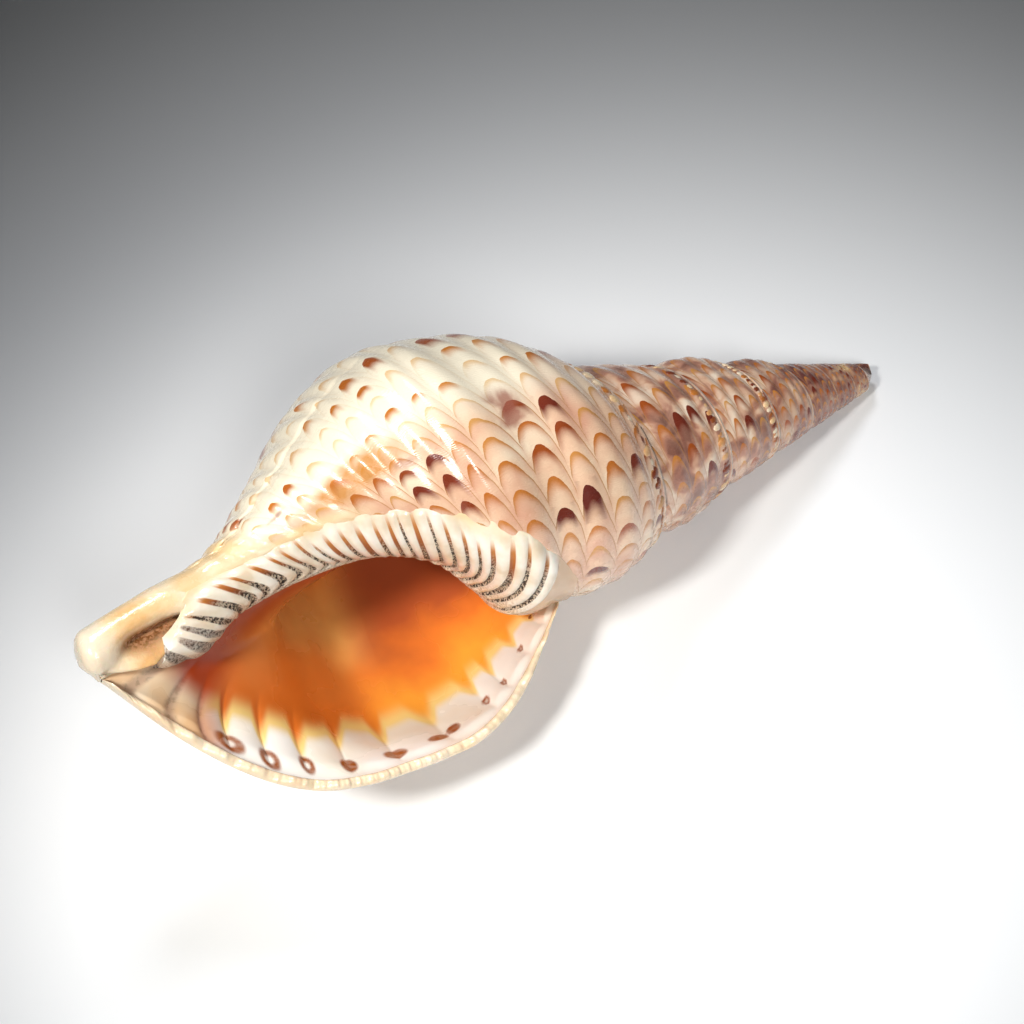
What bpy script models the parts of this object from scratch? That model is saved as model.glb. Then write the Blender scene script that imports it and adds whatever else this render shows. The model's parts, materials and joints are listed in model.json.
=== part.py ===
# Triton's trumpet shell, lying on its side with the mouth turned up to the front.
#
# The shell is one solid that grew as one piece. Its outside is a curve, the meridian of one whorl,
# swept round the shell's own axis and made smaller by the same ratio for every turn back to the tip.
# In the last turn the curve goes on past the seam, down the base to the snout. The mouth is a hollow
# that runs back inside the last turn, between its outer wall and the pillar in the middle.
#
# Shell frame: lengths in millimetres, the axis is z and grows from the point of the cone to the snout,
# and the lip's edge lies in the half plane of +x. Turns are counted back from the lip, which is turn 0.

import math

import bpy
import numpy as np
from mathutils import Matrix, Vector

# Growth
WHORL_RATIO = 1.343      # size of a whorl against the one before it
SEAM_RADIUS = 43.4       # where the lip meets the shell: distance from the axis
SEAM_HEIGHT = 190.6      # and along the axis from the cone's point
FIRST_TURN = -7.6        # the worn tip starts here
SNOUT_END = 357.7        # end of the snout along the axis
TIP_CAP = 1.6            # how far the worn tip stands past its first seam

# Meridian of one whorl between its two seams: share of the way down, bulge as a share of the way
WHORL_BULGE = ((0.0, 0.0), (0.2, 0.084), (0.5, 0.144), (0.8, 0.089), (1.0, 0.0))
SPIRE_BULGE = 0.17       # the small whorls have this share of the last whorl's bulge
SWELL_TURNS = (-1.45, -0.72)
VARIX_TURNS = (-2.05, -2.56, -3.56, -4.11)
VARIX_WIDTH = 0.05
VARIX_BULGE = 0.6
BODY_SWELL = 0.225       # how much the last whorl widens past the cone by its back
SWELL_START = -0.96

# Meridian below the seam line: place along it, then radius and height of its stations
BASE_PLACE = (1.24, 1.56, 1.92, 2.28, 2.64, 3.0)
BACK_TURN = -0.556
WALL_TO_BACK = 0.4       # turns from the mouth's wall to the full width of the back
WALL_STATIONS = ((43.5, 206.0), (30.0, 218.0), (14.0, 232.0), (5.4, 257.0), (7.0, 302.0), (8.7, SNOUT_END))
BACK_STATIONS = ((60.5, 234.0), (49.5, 256.0), (28.5, 281.0), (12.5, 305.0), (10.4, 332.0), (8.7, SNOUT_END))
LIP_RADII = (82.0, 81.0, 75.0, 61.0, 39.0, 9.6)
BACK_GROWTH = (1.0, 0.9, 0.7, 0.4, 0.1, 0.0)
PILLAR_GROWTH = (1.0, 1.0, 1.0, 0.9, 0.35, 0.0)
LIP_FLARE = 0.41         # the lip's extra width at the seam line
FLARE_TURNS = 0.167
FLARE_CURVE = 1.5
UNDERSIDE_FLAT = 8.0     # the side that lies on the ground is this much flatter
UNDERSIDE_TURN = -0.18
UNDERSIDE_SPREAD = 0.085
SNOUT_BEND = 10.0        # the snout leans towards the lip
BEND_START = 284.0
BEND_CURVE = 1.4
SNOUT_PLACE = 3.0        # the meridian's last place
UNDERSIDE_END = 1.5      # the flat side fades out over the last places before the snout
AXIS_GAP = 0.5           # no point comes nearer to the axis
SNOUT_CAP = 5.0          # how far its rounded end stands out
SNOUT_RINGS = ((0.92, 0.38), (0.66, 0.76), (0.34, 0.95))

# Wall and mouth
WALL = 3.6
WALL_AT_SEAM = 0.8
WALL_THICKENS = 0.5      # share of the whorl's band over which the wall reaches its full thickness
LIP_ROLL = 1.8
MOUTH_DEPTH = 0.9        # turns that the hollow runs back
CANAL_TURNS = 0.2        # the canal's slit closes within these turns
CANAL_CLOSED = 2.12
CANAL_ROUND = 0.42
CANAL_GAP = 0.03         # least step between a row and the canal's end

# Relief
CORDS_PER_WHORL = 5
BASE_CORD_STEP = 0.16
CORD_HEIGHT = 1.0
CORD_CURVE = 0.6         # below 1, crests are broad and grooves are narrow
CORD_FADE = 0.3
CORD_GROWTH = 0.8        # cords get smaller towards the tip with this power of the whorl's size
CORD_SEAM = 1.05
BASE_CORD_END = 2.33
CORDS_FROM = -0.69       # the glaze covers the base's cords before this turn
RIDGE_HEIGHT = 1.2       # white ridges cross the inner lip
RIDGES = 26
RIDGE_PLACES = ((0, 2.79, 2.87), (1, 2.76, 2.79), (5, 2.58, 2.45), (9, 2.45, 2.13), (13, 2.25, 1.92),
                (17, 1.99, 1.70), (21, 1.72, 1.50), (26, 1.28, 1.10))
RIDGE_EDGE_TURN = -1.02  # the second number above holds here, at the mouth's edge
RIDGE_OUTER_TURN = -0.75
RIDGE_REACH = (-0.4, 1.2)
RIDGE_INNER = (-1.14, -1.08)
GLAZE_EDGE = ((0.9, -0.94), (1.18, -0.84), (1.6, -0.767), (2.0, -0.715), (2.45, -0.69), (2.65, -0.7),
              (2.75, -0.76), (2.86, -0.95))
GLAZE_STEP = 0.8
GLAZE_FADE = 0.04
GLAZE_LAST_TURN = -0.66  # the glaze doesn't reach past this turn
GLAZE_FLAP = 6.0         # the glaze's free edge stands out at the snout
FLAP_PLACES = (2.48, 2.74, 2.86, 2.94)
FLAP_TURNS = (-1.1, -1.04, -0.94, -0.84)

# Mesh
COLUMNS = 30             # columns in one turn
RIDGE_COLUMNS = (21, 34) # the columns that carry the inner lip's ridges
FINE_FROM = -4.0         # before this turn the whorls are too small for cords
COARSE_ROWS = 4
BASE_CORD_ROWS = 16
SNOUT_ROWS = (2.36, 2.48, 2.6, 2.72, 2.82, 2.91)
RIDGED_SNOUT_ROWS = (2.9, 2.95)
PROBE = 0.004            # step along the meridian from which its direction is read

# How it lies
REST_TILT = 15.5         # degrees that the snout's end of the axis is raised
REST_ROLL = 65.57        # degrees from straight below up to the lip

SHELL_COLOUR = (0.78, 0.62, 0.46, 1.0)
SHELL_ROUGHNESS = 0.28
SHARP_ANGLE = 24.0


def smooth(value):
    value = np.clip(value, 0.0, 1.0)
    return value * value * (3.0 - 2.0 * value)


def through(knots, points, places):
    """A smooth curve through the points, read at the given places."""
    knots = np.asarray(knots, float)
    points = np.asarray(points, float)
    places = np.asarray(places, float)
    slope = np.gradient(points, knots, axis=0)
    cell = np.clip(np.searchsorted(knots, places, side="right") - 1, 0, len(knots) - 2)
    width = (knots[cell + 1] - knots[cell])[:, None]
    u = (places - knots[cell])[:, None] / width
    return ((2 * u**3 - 3 * u**2 + 1) * points[cell]
            + (u**3 - 2 * u**2 + u) * width * slope[cell]
            + (3 * u**2 - 2 * u**3) * points[cell + 1]
            + (u**3 - u**2) * width * slope[cell + 1])


def flare(turn):
    return float(np.clip((turn + FLARE_TURNS) / FLARE_TURNS, 0.0, 1.0)) ** FLARE_CURVE


def stations(turn):
    """Radius and height of the meridian's stations at one turn: the whorl's band, then the base."""
    size = WHORL_RATIO ** turn
    along = np.array([SEAM_RADIUS, SEAM_HEIGHT]) * (WHORL_RATIO - 1.0)
    length = float(np.hypot(*along))
    outward = np.array([SEAM_HEIGHT, -SEAM_RADIUS]) / math.hypot(SEAM_HEIGHT, SEAM_RADIUS)
    start, end = SWELL_TURNS
    bulge = SPIRE_BULGE + (1.0 - SPIRE_BULGE) * float(smooth((turn - start) / (end - start)))
    for varix in VARIX_TURNS:
        bulge += VARIX_BULGE * math.exp(-((turn - varix) / VARIX_WIDTH) ** 2)
    swell = BODY_SWELL * float(smooth((turn - SWELL_START) / (BACK_TURN - SWELL_START))) * (1.0 - flare(turn))
    seam = np.array([SEAM_RADIUS, SEAM_HEIGHT])
    points = []
    for place, rise in WHORL_BULGE:
        point = (seam + along * place + outward * rise * length * bulge) * size
        point[0] *= 1.0 + swell * place**2 + LIP_FLARE * flare(turn) * place
        points.append(point)
    seam_height = points[-1][1]
    back_size = WHORL_RATIO ** BACK_TURN
    for index in range(len(BASE_PLACE)):
        wall = np.array(WALL_STATIONS[index])
        back = np.array(BACK_STATIONS[index])
        if turn <= -1.0:
            point = wall * WHORL_RATIO ** ((turn + 1.0) * PILLAR_GROWTH[index])
        elif turn <= BACK_TURN:
            point = wall + (back - wall) * float(smooth((turn + 1.0) / WALL_TO_BACK))
        else:
            grown = (size / back_size) ** BACK_GROWTH[index]
            full = (1.0 / back_size) ** BACK_GROWTH[index]
            radius = back[0] * grown + (LIP_RADII[index] - back[0] * full) * flare(turn)
            fraction = (BASE_PLACE[index] - 1.0) / 2.0
            height = seam_height + (SNOUT_END - seam_height) * fraction
            point = np.array([radius, height])
        points.append(point)
    return np.array(points)


KNOTS = [place for place, rise in WHORL_BULGE] + list(BASE_PLACE)


def cord_relief(places):
    """Height of the spiral cords across the meridian, from 0 in a groove to 1 on a crest."""
    band = places * CORDS_PER_WHORL
    base = CORDS_PER_WHORL + (places - CORD_SEAM) / BASE_CORD_STEP
    count = np.where(places < 1.0, band, np.maximum(base, CORDS_PER_WHORL))
    wave = np.abs(np.sin(np.pi * count)) ** CORD_CURVE
    return wave * smooth((BASE_CORD_END - places) / CORD_FADE)


def glaze_cover(turn, places):
    """Where the inner lip's glaze covers the cords: 1 inside its outer edge, 0 beyond it."""
    edge_places, edge_turns = zip(*GLAZE_EDGE)
    edge = np.interp(places, edge_places, edge_turns)
    covered = smooth((edge + GLAZE_FADE / 2.0 - turn) / GLAZE_FADE)
    return covered * (places > edge_places[0]) * (turn < GLAZE_LAST_TURN)


def ridge_places(turn):
    """Numbers of the grooves between the ridges and their places on the meridian at one turn."""
    numbers, at_edge, outer = np.array(RIDGE_PLACES).T
    share = (turn - RIDGE_EDGE_TURN) / (RIDGE_OUTER_TURN - RIDGE_EDGE_TURN)
    return numbers, at_edge + (outer - at_edge) * float(np.clip(share, *RIDGE_REACH))


def ridge_relief(turn, places):
    """Height of the inner lip's ridges, which cross it from the mouth's edge outwards."""
    inner, full = RIDGE_INNER
    share = smooth((turn - inner) / (full - inner)) * glaze_cover(turn, places)
    numbers, grooves = ridge_places(turn)
    count = np.interp(places, grooves[::-1], numbers[::-1])
    return (0.5 - 0.5 * np.cos(2.0 * np.pi * count)) * share


def flap_relief(turn, places):
    """Height of the glaze's free edge, which stands up round the snout's start."""
    a, b, c, d = FLAP_PLACES
    along = smooth((places - a) / (b - a)) * smooth((d - places) / (d - c))
    first, full, falling, last = FLAP_TURNS
    return along * smooth((turn - first) / (full - first)) * smooth((last - turn) / (last - falling))


def meridian(turn, places, inset=0.0, relief=True):
    """Points of the shell at one turn, in the shell frame, set in by a wall's thickness if asked."""
    places = np.asarray(places, float)
    control = stations(turn)
    curve = through(KNOTS, control, places)
    ahead = through(KNOTS, control, np.minimum(places + PROBE, KNOTS[-1]))
    behind = through(KNOTS, control, np.maximum(places - PROBE, 0.0))
    tangent = ahead - behind
    normal = np.stack([tangent[:, 1], -tangent[:, 0]], axis=1)
    normal /= np.linalg.norm(normal, axis=1)[:, None]
    raise_by = -np.asarray(inset, float) * np.ones(len(places))
    if relief:
        size = min(1.0, WHORL_RATIO ** (CORD_GROWTH * turn))
        cords = cord_relief(places) * CORD_HEIGHT * size
        cords = cords * (1.0 if turn > CORDS_FROM else np.where(places <= 1.0, 1.0, 0.0))
        covered = glaze_cover(turn, places)
        raise_by = raise_by + cords * (1.0 - covered) + GLAZE_STEP * covered
        raise_by = raise_by + ridge_relief(turn, places) * RIDGE_HEIGHT
        raise_by = raise_by + flap_relief(turn, places) * GLAZE_FLAP
    radius = np.maximum(curve[:, 0] + normal[:, 0] * raise_by, AXIS_GAP)
    height = curve[:, 1] + normal[:, 1] * raise_by
    near = math.exp(-((turn - UNDERSIDE_TURN) / UNDERSIDE_SPREAD) ** 2)
    near = near * np.clip(places, 0.0, 1.0) * np.clip((SNOUT_PLACE - places) / UNDERSIDE_END, 0.0, 1.0)
    radius = radius - UNDERSIDE_FLAT * near
    angle = 2.0 * math.pi * turn
    lean = SNOUT_BEND * np.clip((height - BEND_START) / (SNOUT_END - BEND_START), 0.0, 1.0) ** BEND_CURVE
    return np.stack([radius * math.cos(angle) + lean, radius * math.sin(angle), height], axis=1)


class Skin:
    """Points and faces of the shell's one closed surface."""

    def __init__(self):
        self.points = []
        self.faces = []

    def add(self, points):
        first = len(self.points)
        self.points.extend([tuple(point) for point in points])
        return list(range(first, first + len(points)))

    def face(self, *corners):
        ring = [c for i, c in enumerate(corners) if c != corners[i - 1]]
        if len(set(ring)) >= 3:
            self.faces.append(tuple(ring))

    def way_along(self, chain):
        """How far along a chain each of its points is, from 0 to 1."""
        points = np.array([self.points[point] for point in chain])
        steps = np.linalg.norm(np.diff(points, axis=0), axis=1)
        way = np.concatenate([[0.0], np.cumsum(steps)])
        return list(way / way[-1])

    def join(self, left, right, alike):
        """Faces between two columns: by their keys where their rows are alike, or else by their places."""
        kind = 1 if alike else 2
        self.zip(left[0], left[kind], right[0], right[kind])

    def zip(self, left, left_places, right, right_places):
        """Faces between two chains of points that need not have the same number of points."""
        i, j = 0, 0
        while i < len(left) - 1 or j < len(right) - 1:
            next_left = left_places[i + 1] if i < len(left) - 1 else math.inf
            next_right = right_places[j + 1] if j < len(right) - 1 else math.inf
            if abs(next_left - next_right) < 1e-6:
                self.face(left[i], right[j], right[j + 1], left[i + 1])
                i += 1
                j += 1
            elif next_left < next_right:
                self.face(left[i], right[j], left[i + 1])
                i += 1
            else:
                self.face(left[i], right[j], right[j + 1])
                j += 1


def band_places(turn):
    count = CORDS_PER_WHORL * 2 if turn >= FINE_FROM else COARSE_ROWS
    return [index / count for index in range(count + 1)]


def has_ridges(index):
    return RIDGE_COLUMNS[0] <= index <= RIDGE_COLUMNS[1]


def base_rows(index):
    """Rows of one column below the seam line: a key that lines rows up between columns, and a place."""
    turn = column_turn(index)
    if has_ridges(index):
        rows = np.arange(RIDGES * 2 - 1, 0, -1) / 2.0
        numbers, grooves = ridge_places(turn)
        places = list(np.interp(rows, numbers, grooves))
        keys = list(np.interp(rows, numbers, ridge_places(RIDGE_EDGE_TURN)[1]))
        end = list(RIDGED_SNOUT_ROWS) + [SNOUT_PLACE]
        return [CORD_SEAM] + keys + end, [CORD_SEAM] + places + end
    places = [CORD_SEAM + BASE_CORD_STEP / 2 * row for row in range(BASE_CORD_ROWS)]
    places += list(SNOUT_ROWS) + [SNOUT_PLACE]
    return places, places


def column_turn(index):
    """Column 0 is the lip, and the columns count back towards the tip."""
    return -index / COLUMNS


def build_skin():
    skin = Skin()
    first_column = round(-FIRST_TURN * COLUMNS)

    # The seam: one chain of points from the tip to the lip, shared by the whorls on both its sides
    seam = {}
    for index in range(first_column + 1):
        seam[index] = skin.add(meridian(column_turn(index), [0.0], relief=False))[0]

    # The spire: each whorl's band reaches from its own seam to the seam of the next whorl
    def spire_chain(index):
        places = band_places(column_turn(index))
        inner = skin.add(meridian(column_turn(index), places[1:-1]))
        return [seam[index]] + inner + [seam[index - COLUMNS]], places

    chains = {index: spire_chain(index) for index in range(COLUMNS, first_column + 1)}
    for index in range(COLUMNS, first_column):
        older, older_places = chains[index + 1]
        newer, newer_places = chains[index]
        skin.zip(older, older_places, newer, newer_places)

    # The worn tip
    tip_turn = column_turn(first_column)
    tip = skin.add([(0.0, 0.0, SEAM_HEIGHT * WHORL_RATIO ** tip_turn - TIP_CAP)])[0]
    ring = [seam[index] for index in range(first_column, first_column - COLUMNS - 1, -1)]
    ring += chains[first_column][0][-2:0:-1]
    for index in range(len(ring)):
        skin.face(ring[index], tip, ring[(index + 1) % len(ring)])

    # The last whorl, from the seam down the base to the snout's end
    body = {}
    for index in range(COLUMNS + 1):
        turn = column_turn(index)
        below_keys, below = base_rows(index)
        band = band_places(turn)
        if index == COLUMNS:
            chain = chains[COLUMNS][0] + skin.add(meridian(turn, below))
        else:
            chain = [seam[index]] + skin.add(meridian(turn, band[1:] + below))
        body[index] = (chain, band + below_keys, band + below)
    for index in range(COLUMNS):
        skin.join(body[index + 1], body[index], has_ridges(index + 1) == has_ridges(index))

    # The pillar and the wall of the whorl before, seen through the mouth
    depth_columns = round(MOUTH_DEPTH * COLUMNS)

    def canal_place(depth):
        closing = float(smooth(depth / CANAL_TURNS))
        return SNOUT_PLACE - (SNOUT_PLACE - CANAL_CLOSED) * closing

    pillar = {}
    for step in range(depth_columns + 1):
        index = COLUMNS + step
        end = canal_place(step / COLUMNS)
        keys, places = base_rows(index)
        if step == 0:
            chain = body[COLUMNS][0][len(band_places(-1.0)):]
            pillar[step] = (chain, keys, places)
            continue
        kept = [row for row in range(len(keys)) if max(keys[row], places[row]) < end - CANAL_GAP]
        keys = [keys[row] for row in kept] + [end]
        places = [places[row] for row in kept] + [end]
        pillar[step] = (skin.add(meridian(column_turn(index), places)), keys, places)
    for step in range(depth_columns):
        alike = has_ridges(COLUMNS + step + 1) == has_ridges(COLUMNS + step)
        skin.join(pillar[step + 1], pillar[step], alike)

    # The inside of the outer wall. It starts and ends on the pillar's chain, and its rows close up with it.
    rows = np.array((band_places(0.0) + base_rows(0)[1])[1:-1])
    inside = {}
    for step in range(depth_columns + 1):
        end = canal_place(step / COLUMNS)
        places = np.where(rows < 1.0, rows, 1.0 + (rows - 1.0) * (end - 1.0) / 2.0)
        thickness = WALL_AT_SEAM + (WALL - WALL_AT_SEAM) * smooth(places / WALL_THICKENS)
        points = meridian(column_turn(step), places, inset=thickness, relief=False)
        last = np.array(skin.points[pillar[step][0][-1]])
        pull = smooth((places - (end - CANAL_ROUND)) / CANAL_ROUND)[:, None]
        points = points * (1.0 - pull) + last * pull
        inside[step] = [pillar[step][0][0]] + skin.add(points) + [pillar[step][0][-1]]
    inside_keys = [0.0] + list(rows) + [SNOUT_PLACE]
    for step in range(depth_columns):
        skin.zip(inside[step], inside_keys, inside[step + 1], inside_keys)
    wall_end = inside[depth_columns]
    pillar_end = pillar[depth_columns][0]
    skin.zip(wall_end, skin.way_along(wall_end), pillar_end, skin.way_along(pillar_end))

    # The lip's rounded edge
    outer, outer_places = body[0][:2]
    inner = inside[0]
    edge = []
    for low, high in zip(outer[1:-1], inner[1:-1]):
        middle = (np.array(skin.points[low]) + np.array(skin.points[high])) / 2.0
        edge.append(middle + np.array([0.0, LIP_ROLL, 0.0]))
    edge = [outer[0]] + skin.add(edge) + [outer[-1]]
    skin.zip(outer, outer_places, edge, outer_places)
    skin.zip(edge, outer_places, inner, inside_keys)

    # The snout's rounded end
    ring = [body[index][0][-1] for index in range(COLUMNS, -1, -1)]
    rim = np.array([skin.points[point] for point in ring])
    centre = rim.mean(axis=0)
    for share, rise in SNOUT_RINGS:
        smaller = skin.add(centre + (rim - centre) * share + np.array([0.0, 0.0, SNOUT_CAP * rise]))
        for index in range(len(ring)):
            following = (index + 1) % len(ring)
            skin.face(ring[index], ring[following], smaller[following], smaller[index])
        ring = smaller
    end = skin.add([centre + np.array([0.0, 0.0, SNOUT_CAP])])[0]
    for index in range(len(ring)):
        skin.face(ring[index], ring[(index + 1) % len(ring)], end)
    return skin


def lie_down(points):
    """Turn the shell onto its side, in metres: the tip towards +X, the mouth towards -Y."""
    tilt = math.radians(REST_TILT)
    roll = math.radians(REST_ROLL)
    axis = Vector((-math.cos(tilt), 0.0, math.sin(tilt)))
    up = Vector((0.0, 0.0, 1.0))
    down = -(up - up.dot(axis) * axis).normalized()
    across = axis.cross(down)
    lip = math.cos(roll) * down + math.sin(roll) * across
    side = axis.cross(lip)
    turn = Matrix((lip, side, axis)).transposed()
    points = np.array([turn @ Vector(point) for point in points]) * 0.001
    low = points.min(axis=0)
    high = points.max(axis=0)
    return points - np.array([(low[0] + high[0]) / 2.0, (low[1] + high[1]) / 2.0, low[2]])


def make_shell():
    skin = build_skin()
    mesh = bpy.data.meshes.new("triton_shell")
    mesh.from_pydata([tuple(point) for point in lie_down(skin.points)], [], skin.faces)
    mesh.validate()
    shell = bpy.data.objects.new("triton_shell", mesh)
    bpy.context.scene.collection.objects.link(shell)
    mesh.shade_smooth()
    mesh.set_sharp_from_angle(angle=math.radians(SHARP_ANGLE))
    material = bpy.data.materials.new("glossy_shell")
    material.use_nodes = True
    shader = material.node_tree.nodes["Principled BSDF"]
    shader.inputs["Base Color"].default_value = SHELL_COLOUR
    shader.inputs["Roughness"].default_value = SHELL_ROUGHNESS
    shader.inputs["Metallic"].default_value = 0.0
    mesh.materials.append(material)
    return shell


for old in list(bpy.data.objects):
    bpy.data.objects.remove(old, do_unlink=True)
make_shell()
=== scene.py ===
# %% [markdown]
# # A triton's trumpet shell
# This file builds the look of one large sea shell that lies on its side with its mouth turned up.
# The imported model gives the true shape and size. Here we lay a finer skin over it, piece by piece:
# the whorls, the beads along the seam, the glazed inner lip, the snout, the mouth's lining and the
# rolled outer lip. We start by loading that model.

# %% Load the frame
import json
import math

import bpy
import numpy as np
from mathutils import Euler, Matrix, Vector

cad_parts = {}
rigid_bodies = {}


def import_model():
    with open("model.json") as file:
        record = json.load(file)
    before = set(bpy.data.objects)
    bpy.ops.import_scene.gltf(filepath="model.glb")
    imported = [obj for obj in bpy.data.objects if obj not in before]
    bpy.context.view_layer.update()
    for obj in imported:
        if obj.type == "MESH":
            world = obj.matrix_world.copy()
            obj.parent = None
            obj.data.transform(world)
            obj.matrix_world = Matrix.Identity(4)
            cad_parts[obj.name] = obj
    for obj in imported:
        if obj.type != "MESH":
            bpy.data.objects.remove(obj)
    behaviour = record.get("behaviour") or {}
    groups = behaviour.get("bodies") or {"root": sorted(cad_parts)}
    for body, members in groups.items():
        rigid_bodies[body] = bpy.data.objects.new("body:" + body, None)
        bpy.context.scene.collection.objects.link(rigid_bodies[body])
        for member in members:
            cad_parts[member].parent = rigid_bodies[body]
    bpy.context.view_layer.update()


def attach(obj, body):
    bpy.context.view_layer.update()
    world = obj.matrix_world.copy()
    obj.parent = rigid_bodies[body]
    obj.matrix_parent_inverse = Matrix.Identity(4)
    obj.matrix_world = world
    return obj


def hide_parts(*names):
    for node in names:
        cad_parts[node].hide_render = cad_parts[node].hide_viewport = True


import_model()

# %% [markdown]
# ## How a shell like this grows
# A snail adds shell only at the lip. The lip keeps its shape and gets larger by the same ratio in every
# turn, so one curve, swept round an axis and scaled as it goes, makes all the whorls. We could model each
# whorl by hand, but the rule is shorter and every later step can ask it for a point: give it a turn
# (0 at the lip, -1 one whorl back) and a place (0 at a whorl's upper seam, 1 at its lower seam, 3 at the
# snout). Lengths are millimetres here, and the solid was made from the same numbers.

# %% The numbers of its growth
WHORL_RATIO = 1.343      # size of a whorl against the one before it
SEAM_RADIUS = 43.4
SEAM_HEIGHT = 190.6
FIRST_TURN = -7.6        # the worn tip
SNOUT_END = 357.7
WHORL_BULGE = ((0.0, 0.0), (0.2, 0.084), (0.5, 0.144), (0.8, 0.089), (1.0, 0.0))
SPIRE_BULGE = 0.17
SWELL_TURNS = (-1.45, -0.72)
VARIX_TURNS = (-2.05, -2.56, -3.56, -4.11)   # thick old lips left on the spire
VARIX_WIDTH = 0.05
VARIX_BULGE = 0.6
BODY_SWELL = 0.225
SWELL_START = -0.96
BASE_PLACE = (1.24, 1.56, 1.92, 2.28, 2.64, 3.0)
BACK_TURN = -0.556
WALL_TO_BACK = 0.4
WALL_STATIONS = ((43.5, 206.0), (30.0, 218.0), (14.0, 232.0), (5.4, 257.0), (7.0, 302.0), (8.7, SNOUT_END))
BACK_STATIONS = ((60.5, 234.0), (49.5, 256.0), (28.5, 281.0), (12.5, 305.0), (10.4, 332.0), (8.7, SNOUT_END))
LIP_RADII = (82.0, 81.0, 75.0, 61.0, 39.0, 9.6)
BACK_GROWTH = (1.0, 0.9, 0.7, 0.4, 0.1, 0.0)
PILLAR_GROWTH = (1.0, 1.0, 1.0, 0.9, 0.35, 0.0)
LIP_FLARE = 0.41
FLARE_TURNS = 0.167
UNDERSIDE_FLAT = 8.0     # the side it lies on is flatter
UNDERSIDE_TURN = -0.18
UNDERSIDE_SPREAD = 0.085
SNOUT_BEND = 10.0
BEND_START = 284.0
KNOTS = [place for place, rise in WHORL_BULGE] + list(BASE_PLACE)

# %% [markdown]
# Growth is worked out with two small tools: a soft step, and a smooth curve through a few points, the way a
# draughtsman bends a strip of wood round pins. Blender's curve objects could do it too, but a function can
# be asked for any point at all, and gives the same numbers each time.

# %% Two small curve helpers
def smooth(value):
    """0 below 0, 1 above 1 and a soft S between."""
    value = np.clip(value, 0.0, 1.0)
    return value * value * (3.0 - 2.0 * value)


def through(knots, points, places):
    """A smooth curve through the points, read at the given places."""
    knots, points, places = (np.asarray(part, float) for part in (knots, points, places))
    slope = np.gradient(points, knots, axis=0)
    cell = np.clip(np.searchsorted(knots, places, side="right") - 1, 0, len(knots) - 2)
    width = (knots[cell + 1] - knots[cell])[:, None]
    u = (places - knots[cell])[:, None] / width
    return ((2 * u**3 - 3 * u**2 + 1) * points[cell]
            + (u**3 - 2 * u**2 + u) * width * slope[cell]
            + (3 * u**2 - 2 * u**3) * points[cell + 1]
            + (u**3 - u**2) * width * slope[cell + 1])

# %% [markdown]
# At each turn the whorl's curve runs through eleven points: five down its bulging side, and six down the
# base to the snout. The side swells towards the lip, bulges at each thick old lip on the spire, and opens
# into the flare at the end. The base has one list of points for the wall at the pillar and one for the
# shell's back, and the curve passes softly from one to the other.

# %% The whorl's curve at one turn
def flare(turn):
    """How far the outer lip has opened, from 0 to 1."""
    return float(np.clip((turn + FLARE_TURNS) / FLARE_TURNS, 0.0, 1.0)) ** 1.5


def stations(turn):
    """Radius and height of the points that the whorl's curve runs through at one turn."""
    size = WHORL_RATIO ** turn
    along = np.array([SEAM_RADIUS, SEAM_HEIGHT]) * (WHORL_RATIO - 1.0)
    length = float(np.hypot(*along))
    outward = np.array([SEAM_HEIGHT, -SEAM_RADIUS]) / math.hypot(SEAM_HEIGHT, SEAM_RADIUS)
    start, end = SWELL_TURNS
    bulge = SPIRE_BULGE + (1.0 - SPIRE_BULGE) * float(smooth((turn - start) / (end - start)))
    bulge += sum(VARIX_BULGE * math.exp(-((turn - varix) / VARIX_WIDTH) ** 2) for varix in VARIX_TURNS)
    swell = BODY_SWELL * float(smooth((turn - SWELL_START) / (BACK_TURN - SWELL_START))) * (1.0 - flare(turn))
    points = []
    for place, rise in WHORL_BULGE:
        point = np.array([SEAM_RADIUS, SEAM_HEIGHT]) + along * place + outward * rise * length * bulge
        point *= size
        point[0] *= 1.0 + swell * place**2 + LIP_FLARE * flare(turn) * place
        points.append(point)
    seam_height = points[-1][1]
    back_size = WHORL_RATIO ** BACK_TURN
    for index in range(len(BASE_PLACE)):
        wall = np.array(WALL_STATIONS[index])
        back = np.array(BACK_STATIONS[index])
        if turn <= -1.0:
            point = wall * WHORL_RATIO ** ((turn + 1.0) * PILLAR_GROWTH[index])
        elif turn <= BACK_TURN:
            point = wall + (back - wall) * float(smooth((turn + 1.0) / WALL_TO_BACK))
        else:
            grown = (size / back_size) ** BACK_GROWTH[index]
            full = (1.0 / back_size) ** BACK_GROWTH[index]
            fraction = (BASE_PLACE[index] - 1.0) / 2.0
            point = np.array([back[0] * grown + (LIP_RADII[index] - back[0] * full) * flare(turn),
                              seam_height + (SNOUT_END - seam_height) * fraction])
        points.append(point)
    return np.array(points)

# %% [markdown]
# With the curve known, a row of points across the whorl is read off it, and pushed out or in along its own
# normal where a piece stands proud or lies deep. Two small departures from the rule are real: the side
# that the shell rests on is flatter, and the snout bends a little.

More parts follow.
